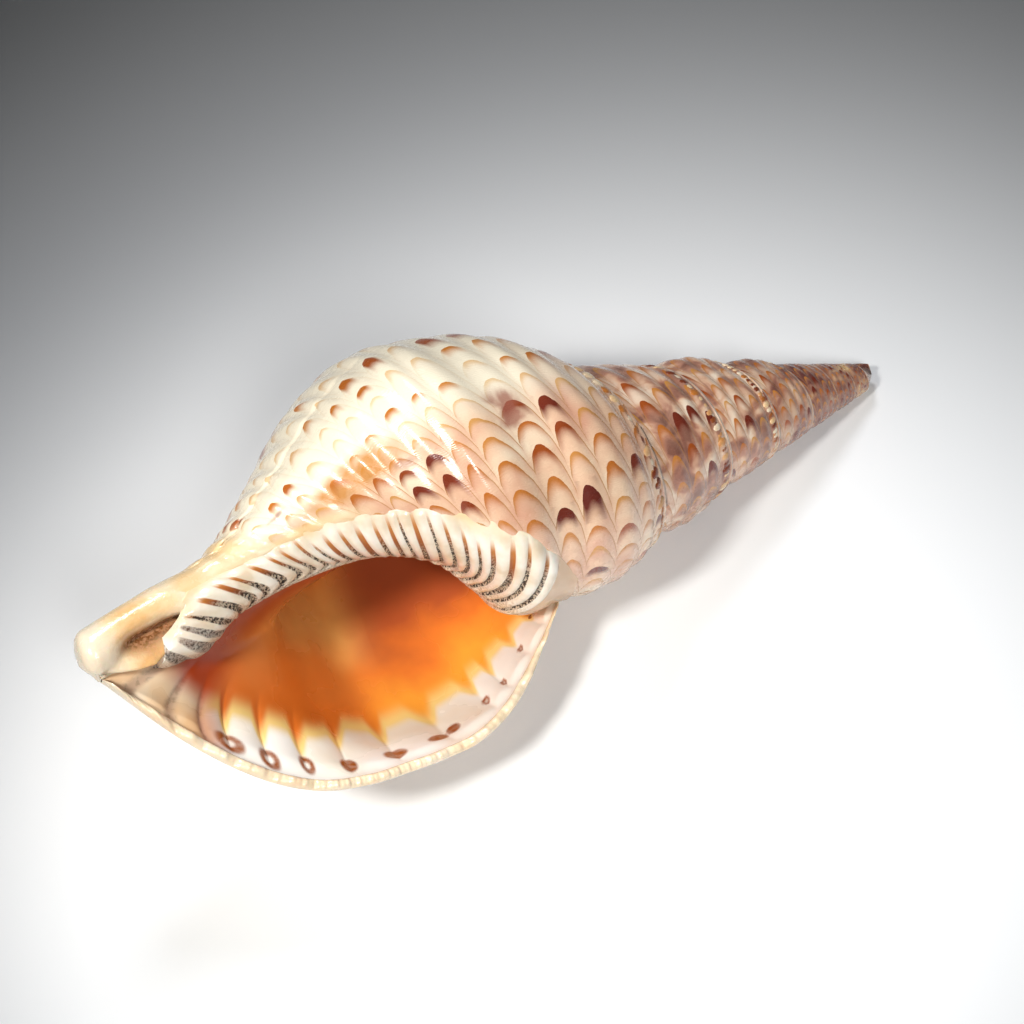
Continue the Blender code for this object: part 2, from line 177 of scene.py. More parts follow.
# %% A row of points across the whorl
def across_whorl(turn, places, raise_by=0.0):
    """Points at one turn, raised out of the surface or, with a negative number, sunk into it."""
    places = np.asarray(places, float)
    control = stations(turn)
    curve = through(KNOTS, control, places)
    ahead = through(KNOTS, control, np.minimum(places + 0.004, KNOTS[-1]))
    behind = through(KNOTS, control, np.maximum(places - 0.004, 0.0))
    normal = np.stack([(ahead - behind)[:, 1], -(ahead - behind)[:, 0]], axis=1)
    normal /= np.linalg.norm(normal, axis=1)[:, None]
    raise_by = np.asarray(raise_by, float) * np.ones(len(places))
    radius = np.maximum(curve[:, 0] + normal[:, 0] * raise_by, 0.5)
    height = curve[:, 1] + normal[:, 1] * raise_by
    near = math.exp(-((turn - UNDERSIDE_TURN) / UNDERSIDE_SPREAD) ** 2)
    flat = UNDERSIDE_FLAT * near * np.clip(places, 0.0, 1.0) * np.clip((3.0 - places) / 1.5, 0.0, 1.0)
    radius = radius - flat
    angle = 2.0 * math.pi * turn
    lean = SNOUT_BEND * np.clip((height - BEND_START) / (SNOUT_END - BEND_START), 0.0, 1.0) ** 1.4
    return np.stack([radius * math.cos(angle) + lean, radius * math.sin(angle), height], axis=1)

# %% [markdown]
# Later pieces ask for points one by one, each at its own turn. Working out the whole curve for each would
# be slow, so the surface round the mouth is worked out once and read off between its lines.

# %% Read the surface anywhere
TABLE_TURNS = np.linspace(-1.25, 0.0, 501)
TABLE_PLACES = np.linspace(0.85, 3.0, 431)
TABLE = np.array([[across_whorl(turn, TABLE_PLACES, rise) for rise in (0.0, 1.0)] for turn in TABLE_TURNS])


def on_whorl(turn, place, rise):
    """Points at many turns and places at once, each with its own rise."""
    a = np.clip((turn - TABLE_TURNS[0]) / (TABLE_TURNS[1] - TABLE_TURNS[0]), 0, len(TABLE_TURNS) - 1.001)
    b = np.clip((place - TABLE_PLACES[0]) / (TABLE_PLACES[1] - TABLE_PLACES[0]), 0, len(TABLE_PLACES) - 1.001)
    i, j = a.astype(int), b.astype(int)
    p, q = (a - i)[:, None, None], (b - j)[:, None, None]
    both = ((TABLE[i, :, j] * (1 - q) + TABLE[i, :, j + 1] * q) * (1 - p)
            + (TABLE[i + 1, :, j] * (1 - q) + TABLE[i + 1, :, j + 1] * q) * p)
    return both[:, 0] + (both[:, 1] - both[:, 0]) * np.asarray(rise)[:, None]


print("surface table:", TABLE.shape)

# %% [markdown]
# ## How it lies
# The rule above has the shell standing on its point. The real one rests on the belly of its last whorl
# and on its tip. A turning matrix made from two angles lays it down, and one shift puts the lowest point
# on the floor, in metres, exactly where the solid is.

# %% Lay it down
REST_TILT = math.radians(15.5)
REST_ROLL = math.radians(65.57)
SHIFT = np.array([184.588, 5.698, -0.935])

axis = np.array([-math.cos(REST_TILT), 0.0, math.sin(REST_TILT)])
down = -(np.array([0.0, 0.0, 1.0]) - math.sin(REST_TILT) * axis) / math.cos(REST_TILT)
lip_way = math.cos(REST_ROLL) * down + math.sin(REST_ROLL) * np.cross(axis, down)
LYING = np.stack([lip_way, np.cross(axis, lip_way), axis], axis=1)


def lie_down(points):
    """From the growing shell's millimetres to metres in the room."""
    return (np.asarray(points) @ LYING.T + SHIFT) * 0.001


print("the lip's seam point lies at", np.round(lie_down(across_whorl(0.0, [0.0]))[0], 4))

# %% [markdown]
# ## Colours and nodes
# Colours are written as a painter would read them off a chart, and one function turns them to the linear
# values that light needs. One more adds a node of any kind with its settings and its inputs, and gives
# back the output that the next node wants. We could click the same trees together by hand, but written
# ones can be read, compared and changed. The kinds and settings that come up most get short names.

# %% Colours and nodes
MATH, RANGE, MIX, NOISE = "ShaderNodeMath", "ShaderNodeMapRange", "ShaderNodeMix", "ShaderNodeTexNoise"
BAND, NUMBER, KEPT = "ShaderNodeValToRGB", "ShaderNodeAttribute", "GeometryNodeInputNamedAttribute"
TIMES, PLUS, TIMES_PLUS, SINE = ({"operation": word} for word in ("MULTIPLY", "ADD", "MULTIPLY_ADD", "SINE"))
SOFT = {"interpolation_type": "SMOOTHSTEP"}


def colour(code):
    """Linear red, green, blue and alpha from a code such as f3e6cf."""
    parts = [int(code[start:start + 2], 16) / 255.0 for start in (0, 2, 4)]
    linear = [part / 12.92 if part <= 0.04045 else ((part + 0.055) / 1.055) ** 2.4 for part in parts]
    return (*linear, 1.0)


def plug(tree, node, values):
    """Fill a node's inputs, each with a number, a colour code or another node's output."""
    for key, value in values.items():
        socket = node.inputs[key]
        if isinstance(value, bpy.types.NodeSocket):
            tree.links.new(value, socket)
        else:
            socket.default_value = colour(value) if socket.type == "RGBA" else value


def add(tree, kind, values=None, out=0, stops=(), **settings):
    """Add a node: settings are its own, values its inputs, stops a colour band's places and colours."""
    node = tree.nodes.new(kind)
    for name, value in settings.items():
        setattr(node, name, value)
    plug(tree, node, values or {})
    if stops:
        band = node.color_ramp.elements
        band.remove(band[0])
        band[0].position, band[0].color = stops[0][0], colour(stops[0][1])
        for position, code in stops[1:]:
            band.new(position).color = colour(code)
    return node if out is None else node.outputs[out]


# %% [markdown]
# ## Meshes
# Every piece here is rows of points joined by faces. Each point also keeps a few numbers, such as its turn,
# because the finishes and the Geometry Nodes need to know where on the shell they are. A finished piece
# rides on the shell's one body and stands in for the plain solid, which is hidden.


# %% Meshes
def keep_numbers(mesh, numbers, kind="FLOAT", domain="POINT"):
    """Keep a number, or a vector, on every point or corner of a mesh."""
    for word, values in numbers.items():
        kept = mesh.attributes.new(word, kind, domain).data
        kept.foreach_set("value" if kind == "FLOAT" else "vector", np.ravel(values))


def new_piece(name, points, faces, numbers):
    """A smooth mesh object. Numbers named u and v also become its UV map."""
    mesh = bpy.data.meshes.new(name)
    mesh.from_pydata(np.asarray(points).tolist(), [], faces)
    mesh.shade_smooth()
    keep_numbers(mesh, numbers)
    corners = np.zeros(len(mesh.loops), dtype=np.int32)
    mesh.loops.foreach_get("vertex_index", corners)
    uv = np.stack([np.ravel(numbers["u"])[corners], np.ravel(numbers["v"])[corners]], axis=1)
    mesh.uv_layers.new(name="growth").data.foreach_set("uv", uv.ravel())
    piece = bpy.data.objects.new(name, mesh)
    bpy.context.scene.collection.objects.link(piece)
    return piece


def grid_faces(columns, rows, first=0):
    """Faces of a plain grid of points, column after column."""
    return [(first + c * rows + r, first + (c + 1) * rows + r, first + (c + 1) * rows + r + 1,
             first + c * rows + r + 1) for c in range(columns - 1) for r in range(rows - 1)]


def finish_piece(piece):
    """Let the piece ride on the shell's one body, and hide the plain solid that it stands for."""
    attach(piece, "root")
    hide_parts("triton_shell")
    print(piece.name, "is done with", len(piece.data.polygons), "faces")


# %% [markdown]
# ## The whorls
# The outside of the shell is one skin: a strip that winds from the worn tip to the lip, and below the
# last whorl's seam line the base that runs down to the snout. Its low cords run the way it grew, and each
# cord carries one column of crescents, so the rows of points are laid along the cords. Each cord is a
# whole number in u, and v counts its crescents.

# %% Cords and crescents
CORD_EDGES = np.array([0.0, 0.06, 0.2, 0.41, 0.65, 0.88, 1.08, 1.245, 1.39, 1.515, 1.63, 1.745, 1.855, 1.965,
                       2.075, 2.185, 2.3, 2.45, 2.68])
# On the side that shows, each cord's crescents from the newest back: its turn and how dark it is, 0 to 1
SEEN_MARKS = {
    2: ((-0.722, 0.16), (-0.751, 0.2), (-0.776, 0.85), (-0.813, 0.15)),
    3: ((-0.582, 0.3), (-0.626, 0.5), (-0.67, 0.1), (-0.713, 0.12), (-0.7425, 0.42), (-0.776, 0.42),
        (-0.8175, 0.15), (-0.855, 0.6)),
    4: ((-0.555, 0.95), (-0.59, 0.4), (-0.634, 0.45), (-0.66, 0.15), (-0.6925, 0.92), (-0.722, 0.7),
        (-0.755, 0.22), (-0.788, 1.0), (-0.8425, 0.35)),
    5: ((-0.563, 1.0), (-0.6, 0.5), (-0.63, 0.12), (-0.66, 0.05), (-0.6883, 0.8), (-0.713, 0.45),
        (-0.738, 0.62), (-0.772, 0.38), (-0.809, 0.95)),
    6: ((-0.61, 0.1), (-0.655, 0.45), (-0.6775, 0.0), (-0.7, 0.12), (-0.722, 0.25), (-0.747, 0.38),
        (-0.776, 0.35), (-0.809, 0.35)),
    7: ((-0.61, 0.08), (-0.655, 0.5), (-0.674, 0.0), (-0.694, 0.0), (-0.713, 0.3), (-0.738, 0.42),
        (-0.7675, 0.42), (-0.8, 0.3)),
    8: ((-0.5675, 0.75), (-0.605, 0.72), (-0.628, 0.0), (-0.652, 0.6), (-0.671, 0.0), (-0.692, 0.1),
        (-0.713, 0.9), (-0.734, 0.8), (-0.7675, 0.75)),
    9: ((-0.505, 0.55), (-0.55, 0.1), (-0.588, 0.6), (-0.622, 0.0), (-0.659, 0.4), (-0.679, 0.15),
        (-0.697, 0.3), (-0.713, 0.7), (-0.734, 0.85)),
    10: ((-0.52, 0.1), (-0.551, 0.45), (-0.6, 0.1), (-0.632, 0.0), (-0.663, 0.4), (-0.682, 0.3), (-0.7, 0.5)),
    11: ((-0.53, 0.1), (-0.572, 0.25), (-0.62, 0.15), (-0.67, 0.6), (-0.7, 0.45)),
    12: ((-0.54, 0.1), (-0.613, 0.8), (-0.65, 0.3)),
    13: ((-0.53, 0.2), (-0.615, 0.6), (-0.66, 0.3)),
}
# Turns from one crescent to the next elsewhere, and how dark they may be, with how often each comes up
SPIRE_STEP, BODY_STEP, BACK_STEP = 0.055, 0.032, 0.045
EARLIER_DARKS = ((0.1, 0.25, 0.4, 0.6, 0.9), (0.22, 0.3, 0.24, 0.14, 0.1))
LATER_DARKS = ((0.08, 0.2, 0.45, 0.7, 0.95), (0.4, 0.22, 0.18, 0.12, 0.08))


def crescent_column(cord, dice):
    """Turns of one cord's crescents from the tip to the lip, and how dark each is."""
    seen = SEEN_MARKS.get(cord, ((-0.7 - 0.01 * (cord % 3), 0.3),))[::-1]
    turns, darks = [turn for turn, dark in seen], [dark for turn, dark in seen]
    while turns[0] > FIRST_TURN - 0.2:
        step = SPIRE_STEP if turns[0] < -1.0 else BODY_STEP
        turns.insert(0, turns[0] - step * dice.uniform(0.8, 1.25))
        darks.insert(0, float(dice.choice(EARLIER_DARKS[0], p=EARLIER_DARKS[1])))
    while turns[-1] < 0.1:
        turns.append(turns[-1] + BACK_STEP * dice.uniform(0.85, 1.2))
        darks.append(float(dice.choice(LATER_DARKS[0], p=LATER_DARKS[1])))
    return np.array(turns), np.array(darks)


dice = np.random.default_rng(26)
CRESCENTS = [crescent_column(cord, dice) for cord in range(len(CORD_EDGES))]
print("crescents on", len(CRESCENTS), "cords:", sum(len(turns) for turns, darks in CRESCENTS))

# %% [markdown]
# The strip needs most columns where its whorls are large. Every cord gets nine rows, so its crest and both
# its edges have points of their own and the relief that comes later stays crisp. On the spire the rows end
# at the seam below, and on the last whorl they go on down to the snout.

# %% The whorls' points
SPIRE_TURNS = np.concatenate([np.linspace(FIRST_TURN, -4.0, 324, endpoint=False),
                              np.linspace(-4.0, -3.0, 110, endpoint=False),
                              np.linspace(-3.0, -2.0, 140, endpoint=False), np.linspace(-2.0, -1.0, 181)])
BODY_TURNS = np.linspace(-1.0, 0.0, 301)
ROWS_PER_CORD = 9
SEAM_ROW = 5.6           # the row that is drawn onto the seam below
SPIRE_ROWS = np.append(np.arange(int(SEAM_ROW * ROWS_PER_CORD) + 1) / ROWS_PER_CORD, SEAM_ROW)
BODY_ROWS = np.arange((len(CORD_EDGES) - 1) * ROWS_PER_CORD + 1) / ROWS_PER_CORD
CORD_WAVER = 0.012


def cord_places(turn, rows):
    """Places of the cord rows at one turn. The cords waver a little, but the seams don't."""
    waver = CORD_WAVER * np.sin(2.1 * rows + 9.0 * turn) * smooth(rows) * smooth((16.0 - rows) / 3.0)
    places = np.interp(rows, np.arange(len(CORD_EDGES)), CORD_EDGES) + waver
    return np.where(rows == SEAM_ROW, 1.0, places) if rows[-1] == SEAM_ROW else places


def whorl_grid(turns, rows):
    """Points and numbers of a grid over the outside."""
    places = [cord_places(turn, rows) for turn in turns]
    points = np.concatenate([across_whorl(turn, row) for turn, row in zip(turns, places)])
    return points, {"turn": np.repeat(turns, len(rows)), "place": np.concatenate(places),
                    "u": np.tile(rows, len(turns)), "v": np.zeros(len(points))}


spire_points, spire_numbers = whorl_grid(SPIRE_TURNS, SPIRE_ROWS)
body_points, body_numbers = whorl_grid(BODY_TURNS, BODY_ROWS)
body_first = len(spire_points)
faces = grid_faces(len(SPIRE_TURNS), len(SPIRE_ROWS))
faces += grid_faces(len(BODY_TURNS), len(BODY_ROWS), body_first)

# The spire's last column is the body's first column, so the two share its points
shared = {body_first - len(SPIRE_ROWS) + row: body_first + row for row in range(len(SPIRE_ROWS) - 1)}
faces = [tuple(shared.get(point, point) for point in face) for face in faces]
print("spire and body:", len(faces), "faces")

# %% [markdown]
# The tip is worn to a small knob, so the strip's first turn is closed with a fan of faces to one point.

# %% Close the tip
TIP_COLUMNS = 95         # a little over one turn, so the fan overlaps the next whorl
TIP_RISE = 1.6
tip_ring = [column * len(SPIRE_ROWS) for column in range(TIP_COLUMNS, -1, -1)]
tip_ring += list(range(1, len(SPIRE_ROWS)))
tip = len(spire_points) + len(body_points)
tip_point = np.array([[0.0, 0.0, SEAM_HEIGHT * WHORL_RATIO ** FIRST_TURN - TIP_RISE]])
tip_numbers = {"turn": [FIRST_TURN], "place": [0.5], "u": [0.5], "v": [0.0]}
faces += [(tip_ring[index], tip_ring[(index + 1) % len(tip_ring)], tip) for index in range(len(tip_ring))]

whorl_numbers = {word: np.concatenate([spire_numbers[word], body_numbers[word], tip_numbers[word]])
                 for word in tip_numbers}
whorls = new_piece("whorls", lie_down(np.concatenate([spire_points, body_points, tip_point])), faces,
                   whorl_numbers)
print("whorls:", len(whorls.data.vertices), "points")

# %% [markdown]
# Neighbouring cords count their crescents separately, so a point on the edge between two cords needs two
# counts. Numbers kept on the corners of the faces can do that, and a UV map is just such a number pair.

# %% Crescent numbers on the corners
corner_point = np.array([corner.vertex_index for corner in whorls.data.loops])
corner_u, corner_turn = whorl_numbers["u"][corner_point], whorl_numbers["turn"][corner_point]
corner_count = np.array([face.loop_total for face in whorls.data.polygons])
corner_face = np.repeat(np.arange(len(corner_count)), corner_count)
face_cord = np.floor(np.bincount(corner_face, corner_u) / corner_count).astype(int)
corner_cord = np.clip(face_cord[corner_face], 0, len(CRESCENTS) - 1)
corner_v, corner_dark = np.zeros(len(corner_u)), np.zeros(len(corner_u))
for cord, (turns, darks) in enumerate(CRESCENTS):
    here = corner_cord == cord
    corner_v[here] = np.interp(corner_turn[here], turns, np.arange(len(turns)))
    corner_dark[here] = darks[np.clip(np.searchsorted(turns, corner_turn[here]), 0, len(turns) - 1)]
corner_x = np.clip(corner_u - corner_cord, 0.0, 1.0)
whorls.data.uv_layers["growth"].data.foreach_set("uv", np.stack([corner_x, corner_v], axis=1).ravel())
keep_numbers(whorls.data, {"dark": corner_dark}, domain="CORNER")
print("crescents are counted on", len(corner_u), "corners")

# %% [markdown]
# ## Geometry Nodes for the cords
# Low rounded cords wind along the whorls, with finer threads between them, and the skin is slightly
# wrinkled where growth paused. All of it follows the numbers u and turn, so a tree of nodes can raise each
# point along its normal. Its inputs are the real heights, so the relief can be turned up and down. We could
# raise the points in Python, but the tree can be opened and tried out in Blender's node editor.


# %% Parts that the trees share
def new_tree(name, *words):
    """A Geometry Nodes tree with a mesh going in and out, and named inputs for its sizes and its finish."""
    kinds = {"Geometry": "Geometry", "Seed": "Int", "Material": "Material"}
    tree = bpy.data.node_groups.new(name, "GeometryNodeTree")
    tree.interface.new_socket("Geometry", in_out="OUTPUT", socket_type="NodeSocketGeometry")
    for word in ("Geometry", *words, "Material"):
        tree.interface.new_socket(word, in_out="INPUT", socket_type="NodeSocket" + kinds.get(word, "Float"))
    return tree, add(tree, "NodeGroupInput", out=None).outputs


def raised(tree, given, height):
    """Each point moved out along its normal by a height, times its own number room."""
    room = add(tree, KEPT, {"Name": "room"}, "Attribute", data_type="FLOAT")
    height = add(tree, MATH, {0: height, 1: room}, **TIMES)
    outward = add(tree, "GeometryNodeInputNormal")
    offset = add(tree, "ShaderNodeVectorMath", {0: outward, "Scale": height}, operation="SCALE")
    return add(tree, "GeometryNodeSetPosition", {"Geometry": given["Geometry"], "Offset": offset})


def close_tree(tree, given, shape):
    """The end of every tree: copies become real faces, and all of it gets the finish."""
    real = add(tree, "GeometryNodeRealizeInstances", {"Geometry": shape})
    dressed = add(tree, "GeometryNodeSetMaterial", {"Geometry": real, "Material": given["Material"]})
    add(tree, "NodeGroupOutput", {0: dressed}, out=None)
    print(tree.name, "has", len(tree.nodes), "nodes")


def grow(piece, tree, sizes):
    """Run a Geometry Nodes tree on a piece and keep the result as its mesh."""
    modifier = piece.modifiers.new(tree.name, "NODES")
    modifier.node_group = tree
    for item in tree.interface.items_tree:
        if item.in_out == "INPUT" and item.name in sizes:
            modifier[item.identifier] = sizes[item.name]
    graph = bpy.context.evaluated_depsgraph_get()
    result = bpy.data.meshes.new_from_object(piece.evaluated_get(graph), preserve_all_data_layers=True,
                                             depsgraph=graph)
    piece.modifiers.clear()
    piece.data = result
    print(piece.name, "has", len(result.polygons), "faces after", tree.name)


# %% [markdown]
# The cords are the square of a sine wave, which makes rounded crests with narrow valleys. The threads are a
# finer sine, four to a cord. The wrinkles are noise, close together along the cords and long across them.

# %% The cord tree
cord_tree, given = new_tree("spiral_cords", "Cord Height", "Thread Height", "Wrinkle Height")
cord, grown = (add(cord_tree, KEPT, {"Name": word}, "Attribute", data_type="FLOAT") for word in ("u", "turn"))
half_turn, fine = (add(cord_tree, MATH, {0: cord, 1: rate}, **TIMES) for rate in (math.pi, 8.0 * math.pi))
wave, fine_wave = (add(cord_tree, MATH, {0: phase}, **SINE) for phase in (half_turn, fine))
hump = add(cord_tree, MATH, {0: wave, 1: wave}, **TIMES)
where = add(cord_tree, "ShaderNodeCombineXYZ", {"X": cord, "Y": grown})
spread = add(cord_tree, "ShaderNodeVectorMath", {0: where, 1: (0.25, 55.0, 0.0)}, **TIMES)
wrinkle = add(cord_tree, NOISE, {"Vector": spread, "Scale": 1.0, "Detail": 2.0}, "Fac")
height = 0.0
for form, size in ((hump, "Cord Height"), (fine_wave, "Thread Height"), (wrinkle, "Wrinkle Height")):
    height = add(cord_tree, MATH, {0: form, 1: given[size], 2: height}, **TIMES_PLUS)
close_tree(cord_tree, given, raised(cord_tree, given, height))

# %% [markdown]
# ## The whorls' finish
# The shell is aragonite porcelain with the animal's own pigments in it, under a hard glossy skin. Each
# crescent is the print of one pause in growth: sharp and dark at its front, fading back into the cream.
# We know x across the cord (0 to 1) and v along it, so a front is where v plus a curve in x passes a
# whole number. The share left after that number tells how far a point lies behind its front. A finish
# starts with its numbers and its noises. A noise's scale counts its blots in a metre, so 45 makes clouds
# 22 mm wide, 75 patches of 13 mm, 130 a waver of 8 mm and 260 wear of 4 mm.

# %% Patterned porcelain: the fronts
PORCELAIN_IOR = 1.55


def new_finish(name):
    """A material named for what it is, with its tree and its shader."""
    finish = bpy.data.materials.new(name)
    finish.use_nodes = True
    return finish, finish.node_tree, finish.node_tree.nodes["Principled BSDF"]


whorl_finish, tree, shader = new_finish("patterned_porcelain")
uv = add(tree, "ShaderNodeSeparateXYZ", {0: add(tree, "ShaderNodeUVMap", uv_map="growth")}, None).outputs
place = add(tree, "ShaderNodeTexCoord", out="Object")
dark, pale, turn, glaze, mauve, gold, from_seam = (
    add(tree, NUMBER, out="Fac", attribute_name=word)
    for word in ("dark", "pale", "turn", "glaze", "mauve", "gold", "place"))
cloud, patches, sway, wear = (
    add(tree, NOISE, {"Vector": place, "Scale": scale, "Detail": detail, "Distortion": twist}, "Fac")
    for scale, detail, twist in ((45.0, 3.0, 0.0), (75.0, 3.0, 0.6), (130.0, 3.0, 0.0), (260.0, 2.0, 0.0)))

# A rounded arch that leans a little across the cord, added to the count along it
x = add(tree, MATH, {0: uv["X"], 1: 0.5}, operation="SUBTRACT")
square = add(tree, MATH, {0: x, 1: x}, **TIMES)
fourth = add(tree, MATH, {0: square, 1: square}, **TIMES)
drop = add(tree, MATH, {0: square, 1: 3.0}, **TIMES)
drop = add(tree, MATH, {0: fourth, 1: 5.0, 2: drop}, **TIMES_PLUS)
drop = add(tree, MATH, {0: x, 1: -0.9, 2: drop}, **TIMES_PLUS)
count = add(tree, MATH, {0: sway, 1: 0.35, 2: uv["Y"]}, **TIMES_PLUS)
count = add(tree, MATH, {0: count, 1: drop}, **PLUS)
behind = add(tree, MATH, {0: count}, operation="FRACT")
print("nodes that find the fronts:", len(tree.nodes))

# %% [markdown]
# A dark cap sits close behind each front, near the arch's top, and is longer where the crescent is darker.
# A thin line follows the whole front and a faint haze lies behind it. All three are weaker where the shell
# is pale, so their strengths are straight lines in the two numbers dark and pale.

# %% Patterned porcelain: caps, lines and haze
width, lighter, line_strength, faint, start, boost = (
    add(tree, MATH, {0: number, 1: slope, 2: base}, **TIMES_PLUS) for number, slope, base in (
        (pale, -0.36, 0.62), (pale, -0.4, 1.0), (pale, -0.6, 0.75), (pale, -0.4, 0.5),
        (dark, -0.6, 0.72), (dark, 1.2, 0.45)))
top = add(tree, RANGE, {0: drop, 1: -0.05, 2: width, 3: 1.0, 4: 0.0}, **SOFT)
cap = add(tree, RANGE, {0: behind, 1: start, 2: 1.0}, **SOFT)
cap = add(tree, MATH, {0: cap, 1: top}, **TIMES)
cap = add(tree, MATH, {0: cap, 1: boost}, use_clamp=True, **TIMES)
tone = add(tree, MATH, {0: dark, 1: lighter}, **TIMES)
cap_colour = add(tree, BAND, {0: tone}, stops=(
    (0.0, "dca64c"), (0.3, "c87a2c"), (0.55, "a85420"), (0.8, "7d3420"), (1.0, "672920")))
line = add(tree, RANGE, {0: behind, 1: 0.76, 2: 0.97}, **SOFT)
line = add(tree, MATH, {0: line, 1: line_strength}, **TIMES)
haze = add(tree, RANGE, {0: behind, 1: 0.3, 2: 1.0, 4: faint})
print("nodes with the crescents:", len(tree.nodes))

# %% [markdown]
# Colours are laid as a painter glazes: a ground, then one layer over another, each with its own share. The
# ground is cream, mottled with mauve brown on the old whorls and worn at the tip. Over it come the pale
# shoulder, the crescents, the golden and mauve clouds, the white line below the seam and the glaze.


# %% Patterned porcelain: colours
def painted(tree, ground, layers):
    """Colours laid over a ground, one after another, each with its share."""
    for share, over in layers:
        ground = add(tree, MIX, {0: share, 6: ground, 7: over}, 2, data_type="RGBA")
    return ground


ground, mottled, chipped, cream = (add(tree, BAND, {0: reading}, stops=stops) for reading, stops in (
    (cloud, ((0.3, "d8a286"), (0.5, "ebc6a6"), (0.7, "f5e2c6"))),
    (patches, ((0.38, "6f3a32"), (0.47, "ad7460"), (0.53, "d8ae90"), (0.66, "f0dec8"))),
    (patches, ((0.45, "6a3c38"), (0.56, "8f5c50"), (0.63, "c49a74"), (0.68, "ecca88"))),
    (cloud, ((0.35, "ecc995"), (0.65, "f6e6c8")))))
line_colour = add(tree, MIX, {0: pale, 6: "b27a3a", 7: "e2c47e"}, 2, data_type="RGBA")
old, worn_tip, seam_line = (
    add(tree, RANGE, {0: number, 1: start, 2: end, 4: most}) for number, start, end, most in (
        (turn, -1.02, -1.6, 0.85), (turn, -3.0, -4.5, 0.85), (from_seam, 0.055, 0.02, 0.7)))
gilt, stained = (add(tree, MATH, {0: number, 1: patches}, **TIMES) for number in (gold, mauve))
gilt = add(tree, RANGE, {0: gilt, 1: 0.12, 2: 0.4, 4: 0.85})
stained = add(tree, RANGE, {0: stained, 1: 0.24, 2: 0.46, 4: 0.8}, **SOFT)
ground = painted(tree, ground, (
    (old, mottled), (worn_tip, chipped), (pale, "f8edd4"), (haze, "cd957c"), (line, line_colour),
    (gilt, "c8832f"), (cap, cap_colour), (stained, "96594a"), (seam_line, "e6dccd"), (glaze, cream)))
print("nodes with the colours:", len(tree.nodes))

# %% [markdown]
# Fine growth lines under 1 mm apart, with broken spots, show in the highlights. They are far too fine for
# the mesh, so a bump of less than a tenth of a millimetre bends the light instead. Polished shell has a
# roughness near 0.2, and the rubbed spots are duller.

# %% Patterned porcelain: gloss and growth lines
phase = add(tree, MATH, {0: turn, 1: 2400.0}, **TIMES)
phase = add(tree, MATH, {0: sway, 1: 40.0, 2: phase}, **TIMES_PLUS)
growth_line = add(tree, MATH, {0: phase}, **SINE)
relief = add(tree, MATH, {0: growth_line, 1: wear}, **TIMES)
relief = add(tree, MATH, {0: wear, 1: 1.5, 2: relief}, **TIMES_PLUS)
bump = add(tree, "ShaderNodeBump", {"Height": relief, "Strength": 0.35, "Distance": 0.00008})
gloss = add(tree, RANGE, {0: wear, 1: 0.3, 2: 0.7, 3: 0.2, 4: 0.34})
plug(tree, shader, {"Base Color": ground, "Normal": bump, "Roughness": gloss, "IOR": PORCELAIN_IOR,
                    "Coat Weight": 0.5, "Coat Roughness": 0.06})
print(whorl_finish.name, "has", len(tree.nodes), "nodes")

# %% [markdown]
# ## Where the relief and the colours go
# The cords fade out at the seams, at the lip and under the glaze, and are lower on the small whorls. Each
# region of colour is a number on the points too: how pale, how glazed, and where the mauve and golden
# clouds lie. An image could hold these, but numbers on points follow the growth by themselves.

# %% Raise the cords
# The inner lip's glaze on the whorls: places down the whorl, each with the turn where the glaze ends
GLAZE_EDGE = ((0.9, -0.94), (1.18, -0.84), (1.6, -0.767), (2.0, -0.715), (2.45, -0.69), (2.65, -0.7),
              (2.75, -0.76), (2.86, -0.95))
GLAZE_INNER = -1.16
# Clouds: turn, place, their breadth in turns and in places, and strength
MAUVE_CLOUDS = ((-0.7, 1.03, 0.03, 0.13, 1.0), (-0.65, 0.95, 0.02, 0.12, 0.6),
                (-0.65, 2.06, 0.01, 0.09, 0.8), (-0.71, 1.56, 0.014, 0.09, 0.75))
GOLDEN_CLOUDS = ((-0.688, 1.76, 0.024, 0.24, 1.0),)


def glazed(turn, place):
    """1 where the glaze covers the whorls and 0 elsewhere."""
    inside = smooth((np.interp(place, *zip(*GLAZE_EDGE)) - turn) / 0.02)
    return inside * (place > GLAZE_EDGE[0][0]) * (place < 2.95)


def clouds(rows):
    """The sum of some soft clouds at every point of the whorls."""
    return sum(strength * np.exp(-((turn - middle) / wide) ** 2 - ((place - down) / tall) ** 2)
               for middle, down, wide, tall, strength in rows)


turn, place = (np.empty(len(whorls.data.vertices)) for _ in range(2))
whorls.data.attributes["turn"].data.foreach_get("value", turn)
whorls.data.attributes["place"].data.foreach_get("value", place)
room = np.minimum(1.0, WHORL_RATIO ** (0.8 * turn)) * (1.0 - glazed(turn, place))
room *= smooth(place / 0.05) * np.where(turn < -1.0, smooth((1.0 - place) / 0.03), 1.0)
room *= smooth(-turn / 0.02) * smooth((2.55 - place) / 0.3)
near_lip = smooth((np.interp(place, *zip(*GLAZE_EDGE)) + 0.026 - turn) / 0.02) * smooth((place - 1.75) / 0.2)
pale = smooth((turn + 0.715) / 0.05) * (0.35 + 0.65 * smooth((place - 0.2) / 0.8))
keep_numbers(whorls.data, {
    "room": room, "pale": pale * (1.0 - 0.5 * smooth((turn + 0.5) / 0.15)),
    "glaze": np.maximum(smooth((place - 2.12) / 0.14), near_lip * (turn < -0.6)),
    "mauve": clouds(MAUVE_CLOUDS), "gold": clouds(GOLDEN_CLOUDS)})
grow(whorls, cord_tree, {"Cord Height": 0.0009, "Thread Height": 0.00008, "Wrinkle Height": 0.0004,
                         "Material": whorl_finish})
finish_piece(whorls)

